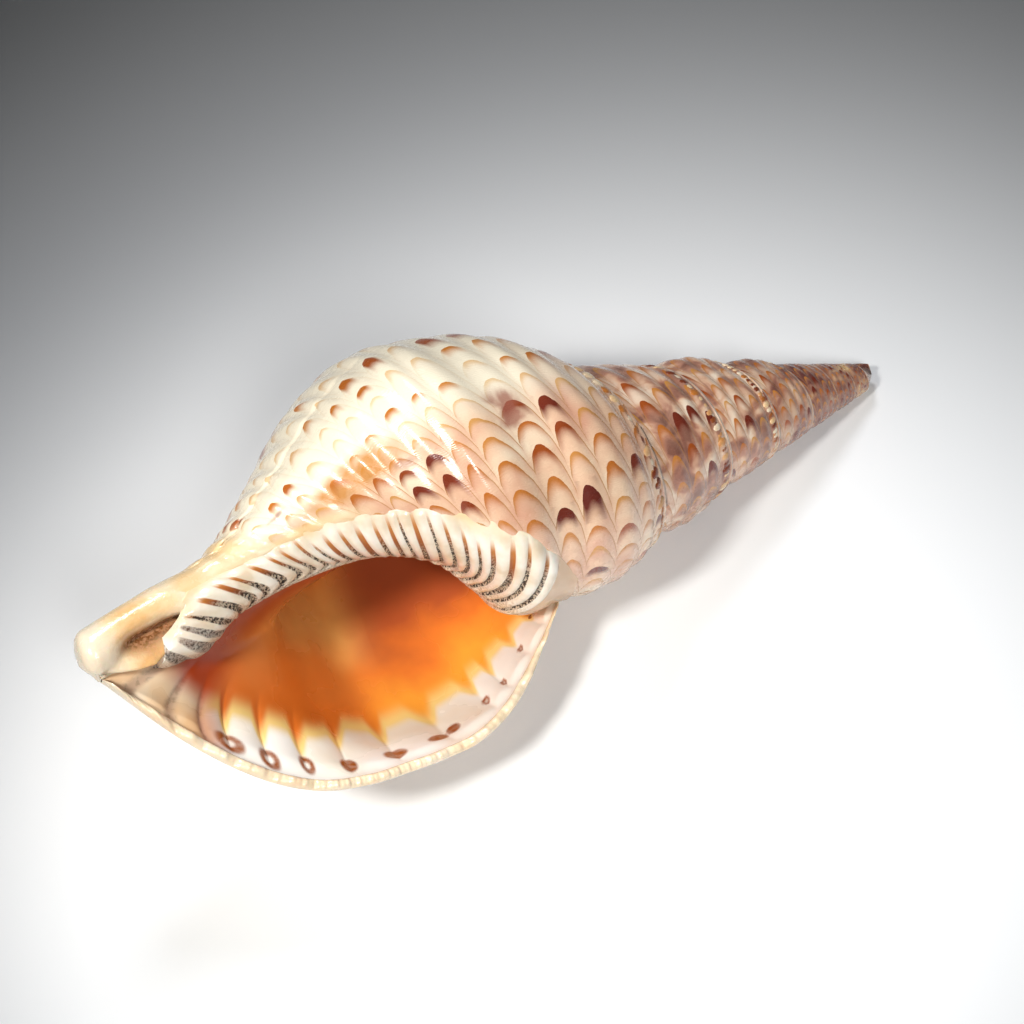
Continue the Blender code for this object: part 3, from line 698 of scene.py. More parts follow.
# %% [markdown]
# ## The beads below the seam
# Just below each seam the cords' ends make a row of small knobs, about 60 to a turn, some cream, some orange
# and some brown. One point is laid where each knob sits, and a Geometry Nodes tree puts a small flattened
# ball on each, turned to follow the surface, with its own darkness.

# %% The bead tree
bead_tree, given = new_tree("seam_beads", "Bead Length", "Bead Width", "Bead Height", "Seed")
outward, onward = (add(bead_tree, KEPT, {"Name": word}, "Attribute", data_type="FLOAT_VECTOR")
                   for word in ("outward", "onward"))
own_size = add(bead_tree, KEPT, {"Name": "size"}, "Attribute", data_type="FLOAT")
turned = add(bead_tree, "FunctionNodeAlignRotationToVector", {"Vector": outward}, axis="Z")
turned = add(bead_tree, "FunctionNodeAlignRotationToVector", {"Rotation": turned, "Vector": onward},
             axis="X", pivot_axis="Z")
varied = add(bead_tree, "FunctionNodeRandomValue", {2: 0.75, 3: 1.15, "Seed": given["Seed"]}, 1,
             data_type="FLOAT")
scale = add(bead_tree, MATH, {0: own_size, 1: varied}, **TIMES)
sides = add(bead_tree, "ShaderNodeCombineXYZ", {
    "X": given["Bead Length"], "Y": given["Bead Width"], "Z": given["Bead Height"]})
sides = add(bead_tree, "ShaderNodeVectorMath", {0: sides, "Scale": scale}, operation="SCALE")
ball = add(bead_tree, "GeometryNodeMeshIcoSphere", {"Radius": 0.5, "Subdivisions": 3}, "Mesh")
ball = add(bead_tree, "GeometryNodeSetShadeSmooth", {"Geometry": ball})
beads = add(bead_tree, "GeometryNodeInstanceOnPoints", {
    "Points": given["Geometry"], "Instance": ball, "Rotation": turned, "Scale": sides})
shade = add(bead_tree, "FunctionNodeRandomValue", {2: 0.0, 3: 1.0, "Seed": 7}, 1, data_type="FLOAT")
marked = add(bead_tree, "GeometryNodeStoreNamedAttribute", {
    "Geometry": beads, "Name": "shade", "Value": shade}, data_type="FLOAT", domain="INSTANCE")
close_tree(bead_tree, given, marked)

# %% [markdown]
# The beads are the same porcelain, rubbed a little dull in spots. Each has its own shade from cream to brown,
# and grain 2 mm wide breaks it up.

# %% Stained bead porcelain
bead_finish, tree, shader = new_finish("stained_bead_porcelain")
place = add(tree, "ShaderNodeTexCoord", out="Object")
shade = add(tree, NUMBER, out="Fac", attribute_name="shade")
grain = add(tree, NOISE, {"Vector": place, "Scale": 500.0, "Detail": 2.0}, "Fac")
mixed = add(tree, MATH, {0: grain, 1: 0.35, 2: shade}, **TIMES_PLUS)
ground = add(tree, BAND, {0: mixed}, stops=(
    (0.2, "f0e0c6"), (0.5, "e6c292"), (0.75, "c27a38"), (1.1, "7a3a22")))
bump = add(tree, "ShaderNodeBump", {"Height": grain, "Strength": 0.4, "Distance": 0.0002})
gloss = add(tree, RANGE, {0: grain, 1: 0.3, 2: 0.7, 3: 0.22, 4: 0.4})
plug(tree, shader, {"Base Color": ground, "Normal": bump, "Roughness": gloss, "IOR": PORCELAIN_IOR})
print(bead_finish.name, "has", len(tree.nodes), "nodes")

# %% [markdown]
# Each bead needs a point and two directions, out of the shell and onward along the seam. Both come from the
# growth rule: one more point a millimetre further out, and one a small step further on.

# %% Lay the beads
BEADS_PER_TURN = 58
BEADED_TURNS = 3.6
FIRST_BEAD = -0.06
BEAD_PLACE = 0.12
BEAD_LIFT = 0.1
bead_turns = FIRST_BEAD - np.arange(int(BEADED_TURNS * BEADS_PER_TURN)) / BEADS_PER_TURN
bead_points, above, ahead = (
    np.array([across_whorl(turn + step, [BEAD_PLACE], BEAD_LIFT + rise)[0] for turn in bead_turns])
    for step, rise in ((0.0, 0.0), (0.0, 1.0), (0.002, 0.0)))
seam_beads = new_piece("seam_beads", lie_down(bead_points), [], {
    "u": bead_turns, "v": bead_turns, "size": WHORL_RATIO ** bead_turns})
keep_numbers(seam_beads.data, {"outward": (above - bead_points) @ LYING.T,
                               "onward": (ahead - bead_points) @ LYING.T}, kind="FLOAT_VECTOR")
grow(seam_beads, bead_tree, {"Bead Length": 0.0055, "Bead Width": 0.0075, "Bead Height": 0.003, "Seed": 3,
                             "Material": bead_finish})
finish_piece(seam_beads)

# %% [markdown]
# ## The inner lip's finish
# The glaze is white porcelain, a little cream where it is thick. Sand and old skin stay in the grooves: rust
# orange at their outer ends, then nearly black and speckled towards the mouth. The number u is whole in each
# groove, so its distance to the nearest whole number tells how deep in a groove a point lies.
# Its two noises make clouds 11 mm wide, and sand under 1 mm, drawn as coarse as it needs to be to show.

# %% Grooved white glaze: where the grooves are
def from_whole(tree, number):
    """The nearest whole number, and how far away it is."""
    nearest = add(tree, MATH, {0: number}, operation="ROUND")
    offset = add(tree, MATH, {0: number, 1: nearest}, operation="SUBTRACT")
    return nearest, add(tree, MATH, {0: offset}, operation="ABSOLUTE")


lip_finish, tree, shader = new_finish("white_glaze_with_stained_grooves")
place = add(tree, "ShaderNodeTexCoord", out="Object")
number, along = (add(tree, NUMBER, out="Fac", attribute_name=word) for word in ("u", "v"))
cloud, sand = (add(tree, NOISE, {"Vector": place, "Scale": scale, "Detail": detail}, "Fac")
               for scale, detail in ((90.0, 3.0), (1100.0, 2.0)))
nearest, beside = from_whole(tree, number)

# Each groove has a breadth of its own, wider at the snout and at its inner end, with wavy edges
chance = add(tree, "ShaderNodeTexWhiteNoise", {"W": nearest}, "Value", noise_dimensions="1D")
breadth = add(tree, RANGE, {0: chance, 3: 0.15, 4: 0.25})
at_end = add(tree, RANGE, {0: nearest, 1: 6.0, 2: 2.0, 3: 0.0, 4: 0.1})
narrowing = add(tree, RANGE, {0: along, 1: 0.5, 2: 1.0, 3: 1.35, 4: 0.7})
breadth = add(tree, MATH, {0: breadth, 1: at_end}, **PLUS)
breadth = add(tree, MATH, {0: breadth, 1: narrowing}, **TIMES)
breadth = add(tree, MATH, {0: cloud, 1: 0.16, 2: breadth}, **TIMES_PLUS)
edge = add(tree, MATH, {0: breadth, 1: 0.08}, operation="SUBTRACT")
inner = add(tree, MATH, {0: edge, 1: 0.6}, **TIMES)
stain = add(tree, RANGE, {0: beside, 1: edge, 2: inner, 3: 0.0, 4: 1.0}, **SOFT)
started = add(tree, RANGE, {0: along, 1: 1.02, 2: 0.9}, **SOFT)
before_last = add(tree, RANGE, {0: number, 1: 27.5, 2: 27.2})
for share in (started, before_last):
    stain = add(tree, MATH, {0: stain, 1: share}, **TIMES)
print("nodes that find the grooves:", len(tree.nodes))

# %% [markdown]
# The dirt turns from rust at the outer end to black sand towards the mouth, and is grey at the snout. The
# glaze has white ridges, is cream beyond them and peach past the last one, with grime at the mouth's edge.
# Clean glaze is glossy, and lets a little light in. The sand is rough, with grains that the bump draws.

# %% Grooved white glaze: colours and gloss
sand_and_fold_shade, rusty, grey, white, cream = (add(tree, BAND, {0: reading}, stops=stops) for reading, stops in (
    (sand, ((0.4, "1c130e"), (0.48, "5b4a3c"), (0.55, "c4b29c"))),
    (along, ((0.55, "7a3c16"), (0.8, "a65a20"), (1.0, "cf8a40"))),
    (sand, ((0.36, "4f463f"), (0.46, "9a9086"), (0.6, "b7afa4"))),
    (cloud, ((0.35, "e2cfb4"), (0.5, "efe3d0"), (0.65, "f6efe2"))),
    (cloud, ((0.35, "ecd2a6"), (0.65, "f4e4c6")))))
turning = add(tree, MATH, {0: chance, 1: 0.3, 2: along}, **TIMES_PLUS)
rust, beyond, past, low = (
    add(tree, RANGE, {0: reading, 1: start, 2: end}, **SOFT) for reading, start, end in (
        (turning, 0.82, 1.05), (along, 0.98, 1.12), (number, 27.6, 28.0), (along, 0.6, 0.1)))
at_snout = add(tree, RANGE, {0: nearest, 1: 3.4, 2: 3.6, 3: 0.85, 4: 0.0})
grime = add(tree, RANGE, {0: sand, 1: 0.48, 2: 0.6, 3: 0.25, 4: 0.9})
grime = add(tree, MATH, {0: grime, 1: low}, **TIMES)
dirt = painted(tree, sand_and_fold_shade, ((rust, rusty), (at_snout, grey)))
ground = painted(tree, white, ((beyond, cream), (past, "d9b795"), (grime, "a48a70"), (stain, dirt)))
gloss = add(tree, RANGE, {0: stain, 3: 0.26, 4: 0.75})
relief = add(tree, MATH, {0: sand, 1: stain}, **TIMES)
relief = add(tree, MATH, {0: cloud, 1: 2.0, 2: relief}, **TIMES_PLUS)
bump = add(tree, "ShaderNodeBump", {"Height": relief, "Strength": 0.5, "Distance": 0.0004})
plug(tree, shader, {"Base Color": ground, "Normal": bump, "Roughness": gloss, "IOR": PORCELAIN_IOR,
                    "Coat Weight": 0.25, "Coat Roughness": 0.1, "Subsurface Weight": 0.1,
                    "Subsurface Scale": 0.003})
print(lip_finish.name, "has", len(tree.nodes), "nodes")

# %% [markdown]
# ## The inner lip
# Along the mouth's inner side the animal laid a thin white glaze over the old whorl, and pulled it into
# ridges that cross it from the mouth outwards. The sheet below follows the whorl and stands a little above
# it. At the snout it lifts off in a free edge. Its edges dip into the whorl, so it has no open rim.

# %% The inner lip's sheet
# The grooves between the ridges, from the snout on: place at the mouth's edge, place outside, turn of the end
GROOVES = ((2.895, 2.97, -0.95), (2.82, 2.93, -0.922), (2.745, 2.9, -0.896), (2.712, 2.838, -0.85),
           (2.69, 2.77, -0.822), (2.67, 2.642, -0.764), (2.65, 2.54, -0.734), (2.625, 2.48, -0.728),
           (2.597, 2.382, -0.72), (2.565, 2.297, -0.72), (2.53, 2.243, -0.72), (2.5, 2.168, -0.712),
           (2.46, 2.119, -0.744), (2.42, 2.057, -0.736), (2.37, 1.988, -0.74), (2.31, 1.917, -0.746),
           (2.25, 1.84, -0.752), (2.19, 1.778, -0.75), (2.12, 1.735, -0.752), (2.05, 1.675, -0.758),
           (1.95, 1.613, -0.768), (1.85, 1.559, -0.784), (1.78, 1.486, -0.804), (1.7, 1.43, -0.828),
           (1.637, 1.354, -0.828), (1.547, 1.234, -0.83), (1.476, 1.141, -0.836), (1.395, 1.013, -0.856),
           (1.33, 0.85, -0.886))
SHEET_EDGE = ((0.9, -0.94), (1.18, -0.83), (1.6, -0.765), (2.0, -0.71), (2.45, -0.69), (2.6, -0.7),
              (2.67, -0.735), (2.68, -0.755), (2.73, -0.795), (2.787, -0.845), (2.828, -0.89),
              (2.856, -0.93), (2.874, -0.98), (2.88, -1.02), (2.89, -1.06))
FREE_RISE = ((2.5, 0.0), (2.6, 0.5), (2.66, 1.2), (2.7, 3.2), (2.73, 6.2), (2.76, 8.2), (2.79, 8.7),
             (2.83, 7.4), (2.856, 6.4), (2.87, 5.4), (2.88, 4.8), (2.9, 4.5))
FREE_TURNS = ((-1.06, 1.0), (-1.02, 0.93), (-0.98, 0.8), (-0.93, 0.62), (-0.89, 0.38), (-0.845, 0.14),
              (-0.795, 0.0))
LIP_PLACES = np.concatenate([np.linspace(0.92, 2.6, 300), np.linspace(2.6, 2.89, 90)[1:]])
LIP_SHARES = np.concatenate([np.linspace(0.0, 0.95, 90), np.linspace(0.95, 1.0, 16)[1:]])
print("inner lip:", len(GROOVES) - 1, "ridges,", len(LIP_PLACES) * len(LIP_SHARES), "points")

# %% [markdown]
# Every point of the sheet first learns between which two grooves it lies and how far along them. Then it
# learns how high it stands: thin over the whorl, high in the free edge, and down into the whorl at the rim.

# %% Lay the inner lip's sheet
GROOVE_START, GROOVE_SPAN = -1.02, 0.27       # turns: where the two places of a groove were read
MOUTH_SIDE = -1.03                            # turn: where every groove begins
THIN, THICKER, DIP = 0.3, 0.6, 0.5            # mm: outside, added among the ridges, and down at the rim


def groove_number(turn, place):
    """Which ridge crosses the lip here: a whole number in each groove."""
    share = np.clip((turn - GROOVE_START) / GROOVE_SPAN, -0.1, 1.2)
    lines = [inner + (outer - inner) * share for inner, outer, end in GROOVES]
    return sum(np.clip((high - place) / (high - low), 0.0, 1.0) for high, low in zip(lines, lines[1:]))


lip_place, lip_share = (part.ravel() for part in np.meshgrid(LIP_PLACES, LIP_SHARES, indexing="ij"))
edge_turn = np.interp(lip_place, *zip(*SHEET_EDGE))
lip_turn = GLAZE_INNER + (edge_turn - GLAZE_INNER) * lip_share
lip_groove = groove_number(lip_turn, lip_place)
groove_ends = np.interp(lip_groove, range(len(GROOVES)), [end for inner, outer, end in GROOVES])
along_groove = (lip_turn - MOUTH_SIDE) / (groove_ends - MOUTH_SIDE)

# It thins out over the whorl, stands up in its free edge, and dips into the whorl all round
free = np.interp(lip_place, *zip(*FREE_RISE)) * np.interp(lip_turn, *zip(*FREE_TURNS))
lift = THIN + THICKER * smooth((1.1 - along_groove) / 0.3) + free
lift -= (lift + DIP) * smooth((lip_share - 0.98) / 0.02)
lift -= (lift + DIP) * (1.0 - smooth((lip_place - LIP_PLACES[0]) / 0.03))
lift = np.where(lip_turn < -1.1, (lift + DIP) * smooth((lip_turn - GLAZE_INNER) / 0.06) - DIP, lift)

# The ridges' room: none at the rim, and lower ridges at the snout
lip_room = smooth((lip_turn + 1.14) / 0.05) * smooth((1.08 - along_groove) / 0.16)
lip_room *= smooth((lip_place - 0.95) / 0.1) * smooth((0.99 - lip_share) / 0.03)
lip_room *= 1.0 - 0.4 * smooth((4.5 - lip_groove) / 2.0)
inner_lip = new_piece("inner_lip", lie_down(on_whorl(lip_turn, lip_place, lift)),
                      grid_faces(len(LIP_PLACES), len(LIP_SHARES)),
                      {"u": lip_groove, "v": along_groove, "room": lip_room})
inner_lip.data.flip_normals()

# %% [markdown]
# Each ridge is half a sine wave between two grooves. A power below one broadens its crest, so the grooves
# stay narrow. The same tree will raise the low pads on the mouth's lining.

# %% The ridge tree
ridge_tree, given = new_tree("lip_ridges", "Ridge Height", "Breadth")
number = add(ridge_tree, KEPT, {"Name": "u"}, "Attribute", data_type="FLOAT")
height = add(ridge_tree, MATH, {0: number, 1: math.pi}, **TIMES)
for step in (SINE, {"operation": "ABSOLUTE"}):
    height = add(ridge_tree, MATH, {0: height}, **step)
height = add(ridge_tree, MATH, {0: height, 1: given["Breadth"]}, operation="POWER")
height = add(ridge_tree, MATH, {0: height, 1: given["Ridge Height"]}, **TIMES)
close_tree(ridge_tree, given, raised(ridge_tree, given, height))
grow(inner_lip, ridge_tree, {"Ridge Height": 0.0015, "Breadth": 0.7, "Material": lip_finish})
finish_piece(inner_lip)

# %% [markdown]
# ## The snout's and the rim's finish
# Here the same glaze lies over pale shell with no pattern: cream to peach, whiter towards the end, and
# browner in the scoop, which is painted shade in the hollow broken up by the grain, with fine crackles that
# show in the light. The clouds are 17 mm wide, the grain 1.4 mm and the crackle's cells 2.4 mm.

# %% Crackled cream glaze
snout_finish, tree, shader = new_finish("crackled_cream_glaze")
place = add(tree, "ShaderNodeTexCoord", out="Object")
scoop, towards_end = (add(tree, NUMBER, out="Fac", attribute_name=word) for word in ("scoop", "v"))
cloud, grain = (add(tree, NOISE, {"Vector": place, "Scale": scale, "Detail": detail}, "Fac")
                for scale, detail in ((60.0, 4.0), (700.0, 3.0)))
cracks = add(tree, "ShaderNodeTexVoronoi", {"Vector": place, "Scale": 420.0}, "Distance",
             feature="DISTANCE_TO_EDGE")
cream = add(tree, BAND, {0: cloud}, stops=((0.35, "eab87c"), (0.5, "f3d3a4"), (0.68, "f8e6cb")))
# Browner in the scoop: painted shade in the hollow, broken up by the grain
hollow_shade_brown = add(tree, BAND, {0: grain}, stops=((0.4, "80532f"), (0.55, "b98660")))
end = add(tree, RANGE, {0: towards_end, 1: 2.9, 2: 3.0}, **SOFT)
deep = add(tree, MATH, {0: grain, 1: 0.5, 2: scoop}, **TIMES_PLUS)
deep = add(tree, RANGE, {0: deep, 1: 0.3, 2: 0.9}, **SOFT)
ground = painted(tree, cream, ((end, "f1e0c6"), (deep, hollow_shade_brown)))
relief = add(tree, RANGE, {0: cracks, 1: 0.0, 2: 0.12})
relief = add(tree, MATH, {0: cloud, 1: 5.0, 2: relief}, **TIMES_PLUS)
bump = add(tree, "ShaderNodeBump", {"Height": relief, "Strength": 0.3, "Distance": 0.00012})
gloss = add(tree, RANGE, {0: grain, 1: 0.3, 2: 0.7, 3: 0.14, 4: 0.3})
plug(tree, shader, {"Base Color": ground, "Normal": bump, "Roughness": gloss, "IOR": PORCELAIN_IOR,
                    "Coat Weight": 0.4, "Coat Roughness": 0.06, "Subsurface Weight": 0.15,
                    "Subsurface Scale": 0.004})
print(snout_finish.name, "has", len(tree.nodes), "nodes")

# %% [markdown]
# ## The snout
# The last whorl runs out into a short smooth snout, glazed all over, with the canal on its lower side. A
# thin flange stands out along the canal, and between it and the round of the snout lies a scooped hollow.
# It is one more grid on the same surface, with the flange and the hollow added to its rise.

# %% The snout
SNOUT_PLACES = np.linspace(2.58, 3.0, 96)
SNOUT_TURNS = np.concatenate([np.linspace(-1.0, -0.75, 110), np.linspace(-0.75, 0.0, 91)[1:]])
FLANGE = ((2.7, 0.0), (2.78, 1.5), (2.82, 3.0), (2.866, 5.2), (2.886, 6.4), (2.922, 4.9), (2.961, 2.0),
          (2.984, 0.1), (3.0, -0.5))
SLIT_DEPTH = 4.6
SCOOP_DEPTH = 5.4


def swelling(value, middle, before, after):
    """A soft hump, 1 at its middle, with its own breadth before and after."""
    return np.exp(-((value - middle) / np.where(value > middle, after, before)) ** 2)


snout_place, snout_turn = (part.ravel() for part in np.meshgrid(SNOUT_PLACES, SNOUT_TURNS, indexing="ij"))
angle = (snout_turn + 1.0) * 360.0
flange = np.interp(snout_place, *zip(*FLANGE)) * swelling(angle, 20.0, 6.0, 11.0)
slit = swelling(angle, 10.0, 4.5, 4.5) * smooth((snout_place - 2.84) / 0.06)
scoop = swelling(angle, 48.0, 19.0, 34.0) * smooth((snout_place - 2.69) / 0.1)
scoop *= smooth((2.98 - snout_place) / 0.11)
glaze = 0.4 * smooth((snout_place - 2.58) / 0.06) * smooth(-0.02 - snout_turn) - 0.1
snout_points = on_whorl(snout_turn, snout_place, glaze + flange - SLIT_DEPTH * slit - SCOOP_DEPTH * scoop)
print("snout wall:", len(snout_points), "points")

# %% [markdown]
# The snout's end is worn round. Rings of points shrink towards its middle and rise as they go, like the
# courses of a dome, and the canal's side stays low so that the canal runs out open.

# %% Close the snout's end
# Rings of the dome: share of the rim's breadth, and of the dome's height
CAP_RINGS = ((0.97, 0.2), (0.9, 0.45), (0.78, 0.67), (0.62, 0.83), (0.42, 0.94), (0.2, 0.99), (0.01, 1.0))
CAP_HEIGHT = 4.6
rim_points = snout_points[-len(SNOUT_TURNS):]
rim_angle = (SNOUT_TURNS + 1.0) * 360.0
on_lobe = (smooth((rim_angle - 14.0) / 16.0) * smooth((335.0 - rim_angle) / 50.0))[:, None]
centre = (rim_points * on_lobe).sum(axis=0) / on_lobe.sum()
cap_points, cap_faces = [], []
count = len(rim_points)
first = len(snout_points) - count
for step, (share, rise) in enumerate(CAP_RINGS):
    tall = CAP_HEIGHT * rise * (on_lobe + (1.0 - on_lobe) * (1.0 - share) ** 2)
    cap_points.append(centre + (rim_points - centre) * share + tall * np.array([0.0, 0.0, 1.0]))
    ring, above = first + step * count, first + (step + 1) * count
    cap_faces += [(ring + i, above + i, above + (i + 1) % count, ring + (i + 1) % count)
                  for i in range(count)]
cap_size = len(CAP_RINGS) * count
snout = new_piece("snout", lie_down(np.concatenate([snout_points] + cap_points)),
                  grid_faces(len(SNOUT_PLACES), len(SNOUT_TURNS)) + cap_faces,
                  {"u": np.concatenate([snout_turn, np.full(cap_size, -0.5)]),
                   "v": np.concatenate([snout_place, np.full(cap_size, 3.0)]),
                   "scoop": np.concatenate([scoop, np.zeros(cap_size)])})
snout.data.flip_normals()
snout.data.materials.append(snout_finish)
finish_piece(snout)

# %% [markdown]
# ## The mouth's finish
# Inside, the porcelain is orange, growing darker, redder and browner the deeper in a point lies, and white on
# the pads of the outer lip.
# The numbers on the points say how orange each is and where the brown marks between the pads lie.
# How deep and how far along the lip a point lies picks one of two bands of orange. The clouds are 26 mm wide
# and the grain 2.4 mm. There is no bump here, because this part is polished smooth.

# %% Orange porcelain
lining_finish, tree, shader = new_finish("orange_porcelain")
place = add(tree, "ShaderNodeTexCoord", out="Object")
orange, mark, canal, depth, row, number = (
    add(tree, NUMBER, out="Fac", attribute_name=word)
    for word in ("orange", "mark", "canal", "v", "row", "u"))
cloud, grain = (add(tree, NOISE, {"Vector": place, "Scale": scale, "Detail": 3.0}, "Fac")
                for scale in (38.0, 420.0))
# The bands grow darker, redder and browner the deeper in a point lies, with a lighter band part way in on the
# canal's side
deep = add(tree, MATH, {0: cloud, 1: 0.12, 2: depth}, **TIMES_PLUS)
hind, fore, pads, folds, sand_and_fold_shade = (add(tree, BAND, {0: reading}, stops=stops) for reading, stops in (
    (deep, ((0.14, "fda53a"), (0.19, "e87c30"), (0.24, "b4562c"), (0.3, "a04a28"), (0.6, "7a3216"))),
    (deep, ((0.14, "e8782a"), (0.19, "dc7c34"), (0.25, "eeaa5c"), (0.32, "dc7c34"), (0.6, "a04a22"))),
    (cloud, ((0.35, "f8ecd8"), (0.6, "fefaf2"))),
    (cloud, ((0.35, "e6bc8c"), (0.5, "f4d9b6"), (0.65, "fcf1de"))),
    (grain, ((0.4, "6e5348"), (0.52, "b39482")))))
at_canal, side, glow, full, red_end = (
    add(tree, RANGE, {0: reading, 1: start, 2: end}, **SOFT) for reading, start, end in (
        (row, 0.76, 0.9), (row, 0.28, 0.5), (orange, 0.0, 0.35), (orange, 0.3, 1.0), (row, 0.78, 0.86)))
inside = painted(tree, hind, ((side, painted(tree, fore, ((at_canal, "9c3f1e"),))),))

# Between the canal's three folds lies painted shade, speckled like sand, and the canal's far end is red
nearest, beside = from_whole(tree, number)
# The valleys between the folds: painted shade, speckled by the grain
valley = add(tree, RANGE, {0: beside, 1: 0.22, 2: 0.04, 4: 0.6}, **SOFT)
folds = painted(tree, folds, ((valley, sand_and_fold_shade),))
shallow = add(tree, RANGE, {0: depth, 1: 0.16, 2: 0.08, 4: 0.9})
red_end = add(tree, MATH, {0: red_end, 1: shallow}, **TIMES)
rough = add(tree, RANGE, {0: grain, 1: 0.3, 2: 0.6, 3: 0.8, 4: 1.0})
spot = add(tree, MATH, {0: mark, 1: rough}, use_clamp=True, **TIMES)
ground = painted(tree, pads, ((glow, "fcd888"), (full, inside), (red_end, "a83c14"), (canal, folds),
                              (spot, "98501f")))
gloss = add(tree, RANGE, {0: cloud, 1: 0.3, 2: 0.7, 3: 0.22, 4: 0.36})
plug(tree, shader, {"Base Color": ground, "Roughness": gloss, "IOR": PORCELAIN_IOR})
print(lining_finish.name, "has", len(tree.nodes), "nodes")

# %% [markdown]
# ## The mouth
# Looking into the mouth one sees the inside of the outer wall and, in the middle, the pillar that all the
# whorls wind round. Both are walls of one hollow that narrows as it goes back, so their rows meet in the
# canal and at the far end.

# %% The hollow
WALL = 3.6
WALL_AT_SEAM = 0.8
MOUTH_DEPTH = 0.9        # turns
CANAL_CLOSED = 2.12      # the place where the canal has closed, far in
MEETING = 0.42           # places over which the outer wall curves in to meet the pillar
DEPTHS = np.concatenate([np.linspace(0.0, 0.1, 61), np.linspace(0.1, MOUTH_DEPTH, 81)[1:]])
HOLLOW_ROWS = np.linspace(0.0, 1.0, 281)


def canal_place(depth):
    """The last place of a row at one depth, where the outer wall meets the pillar."""
    return 3.0 - (3.0 - CANAL_CLOSED) * float(smooth(depth / 0.2))


def wall_row(depth):
    """Points of the outer wall's inside at one depth, from the seam to the canal."""
    end = canal_place(depth)
    places = np.where(HOLLOW_ROWS < 1.0 / 3.0, HOLLOW_ROWS * 3.0,
                      1.0 + (HOLLOW_ROWS * 3.0 - 1.0) * (end - 1.0) / 2.0)
    thickness = WALL_AT_SEAM + (WALL - WALL_AT_SEAM) * smooth(places / 0.5)
    points = across_whorl(-depth, places, -thickness)
    meet = across_whorl(-1.0 - depth, [1.0, end])
    pull = smooth((places - (end - MEETING)) / MEETING)[:, None]
    points = points * (1.0 - pull) + meet[1] * pull
    points[0] = meet[0]
    return points


wall_points = np.concatenate([wall_row(depth) for depth in DEPTHS])
pillar_points = np.concatenate([
    across_whorl(-1.0 - depth, 1.0 + (canal_place(depth) - 1.0) * HOLLOW_ROWS) for depth in DEPTHS])
wall_count = len(wall_points)
rows = len(HOLLOW_ROWS)
faces = [face[::-1] for face in grid_faces(len(DEPTHS), rows)] + grid_faces(len(DEPTHS), rows, wall_count)
last = (len(DEPTHS) - 1) * rows
faces += [(last + r, last + r + 1, wall_count + last + r + 1, wall_count + last + r) for r in range(rows - 1)]
print("hollow:", len(faces), "faces")

# %% [markdown]
# Along the lip the lining swells into a dozen low white pads. Between the pads the orange reaches out in
# streaks, and near the edge lie brown marks, some of them rings. We measure along the lip and into the
# mouth in millimetres, so a mark is a soft ellipse, and a ring is an ellipse with another one taken out.

# %% Pads, streaks and marks
MARK_SPREAD = 1.25       # of a mark's soft rim beyond its half sizes
depth, row = (part.ravel() for part in np.meshgrid(DEPTHS, HOLLOW_ROWS, indexing="ij"))

# Brown marks along the outer lip: row, depth in turns, half sizes along and across the lip in mm, hole
LIP_MARKS = ((0.800, 0.0125, 4.6, 3.6, 0.8), (0.725, 0.0105, 3.2, 3.8, 1.0), (0.645, 0.0135, 2.6, 3.6, 1.0),
             (0.547, 0.0155, 3.2, 3.6, 0.0), (0.420, 0.0235, 5.0, 3.8, 0.0), (0.312, 0.0235, 3.0, 2.6, 0.0),
             (0.278, 0.0265, 2.4, 2.8, 0.0), (0.195, 0.0300, 1.4, 2.6, 0.6), (0.150, 0.0260, 1.0, 2.4, 0.5),
             (0.090, 0.0360, 1.0, 2.4, 0.5))
PAD_ROWS = (1.0, 0.93, 0.89, 0.848, 0.80, 0.725, 0.645, 0.547, 0.42, 0.295, 0.195, 0.15, 0.09, 0.04, 0.0)
LIP_LENGTH, DEPTH_LENGTH = 202.0, 520.0     # mm along the lip, and mm of depth for one turn
pad = np.interp(row, PAD_ROWS[::-1], np.arange(len(PAD_ROWS))[::-1])
between = np.abs(pad - np.round(pad)) * 2.0
streak = 1.0 - smooth(between / 0.55)
canal = smooth((row - 0.81) / 0.07)
white_to = 0.05 + 0.026 * smooth((0.62 - row) / 0.12) * smooth(row / 0.04) - 0.02 * streak * (1.0 - canal)
white_to = white_to - 0.01 * canal
orange = smooth((depth - white_to + 0.02) / 0.045)
mark = np.zeros(wall_count)
for mark_row, mark_depth, along, across, hole in LIP_MARKS:
    far = np.hypot((row - mark_row) * LIP_LENGTH / along, (depth - mark_depth) * DEPTH_LENGTH / across)
    far /= MARK_SPREAD
    shape = 1.0 - smooth((far - 0.8) / 0.4)
    mark = np.maximum(mark, shape * (1.0 - hole * (1.0 - smooth((far - 0.2) / 0.35))))
band = smooth((depth - 0.001) / 0.016) * smooth((0.085 - depth) / 0.05) * smooth((0.97 - row) / 0.05)

# Each number on the outer wall, then on the pillar
sides = {"u": (pad, pad), "v": (depth, depth), "row": (row, row), "orange": (orange, 1.0),
         "mark": (mark, 0.0), "canal": (canal * smooth((0.07 - depth) / 0.03), 0.0), "room": (band, 0.0)}
numbers = {word: np.concatenate([wall, pillar * np.ones(wall_count)])
           for word, (wall, pillar) in sides.items()}
hollow = new_piece("mouth_hollow", lie_down(np.concatenate([wall_points, pillar_points])), faces, numbers)
hollow.data.flip_normals()
grow(hollow, ridge_tree, {"Ridge Height": 0.0014, "Breadth": 0.6, "Material": lining_finish})
finish_piece(hollow)

# %% [markdown]
# ## The outer lip's edge
# The lip is the youngest shell and the thickest. Its edge is a rounded roll between the outside and the
# lining, thicker at the pads and at the canal, and slightly rippled. Half circles of points join the
# two edges, bulging forward, which is the way the shell grows.

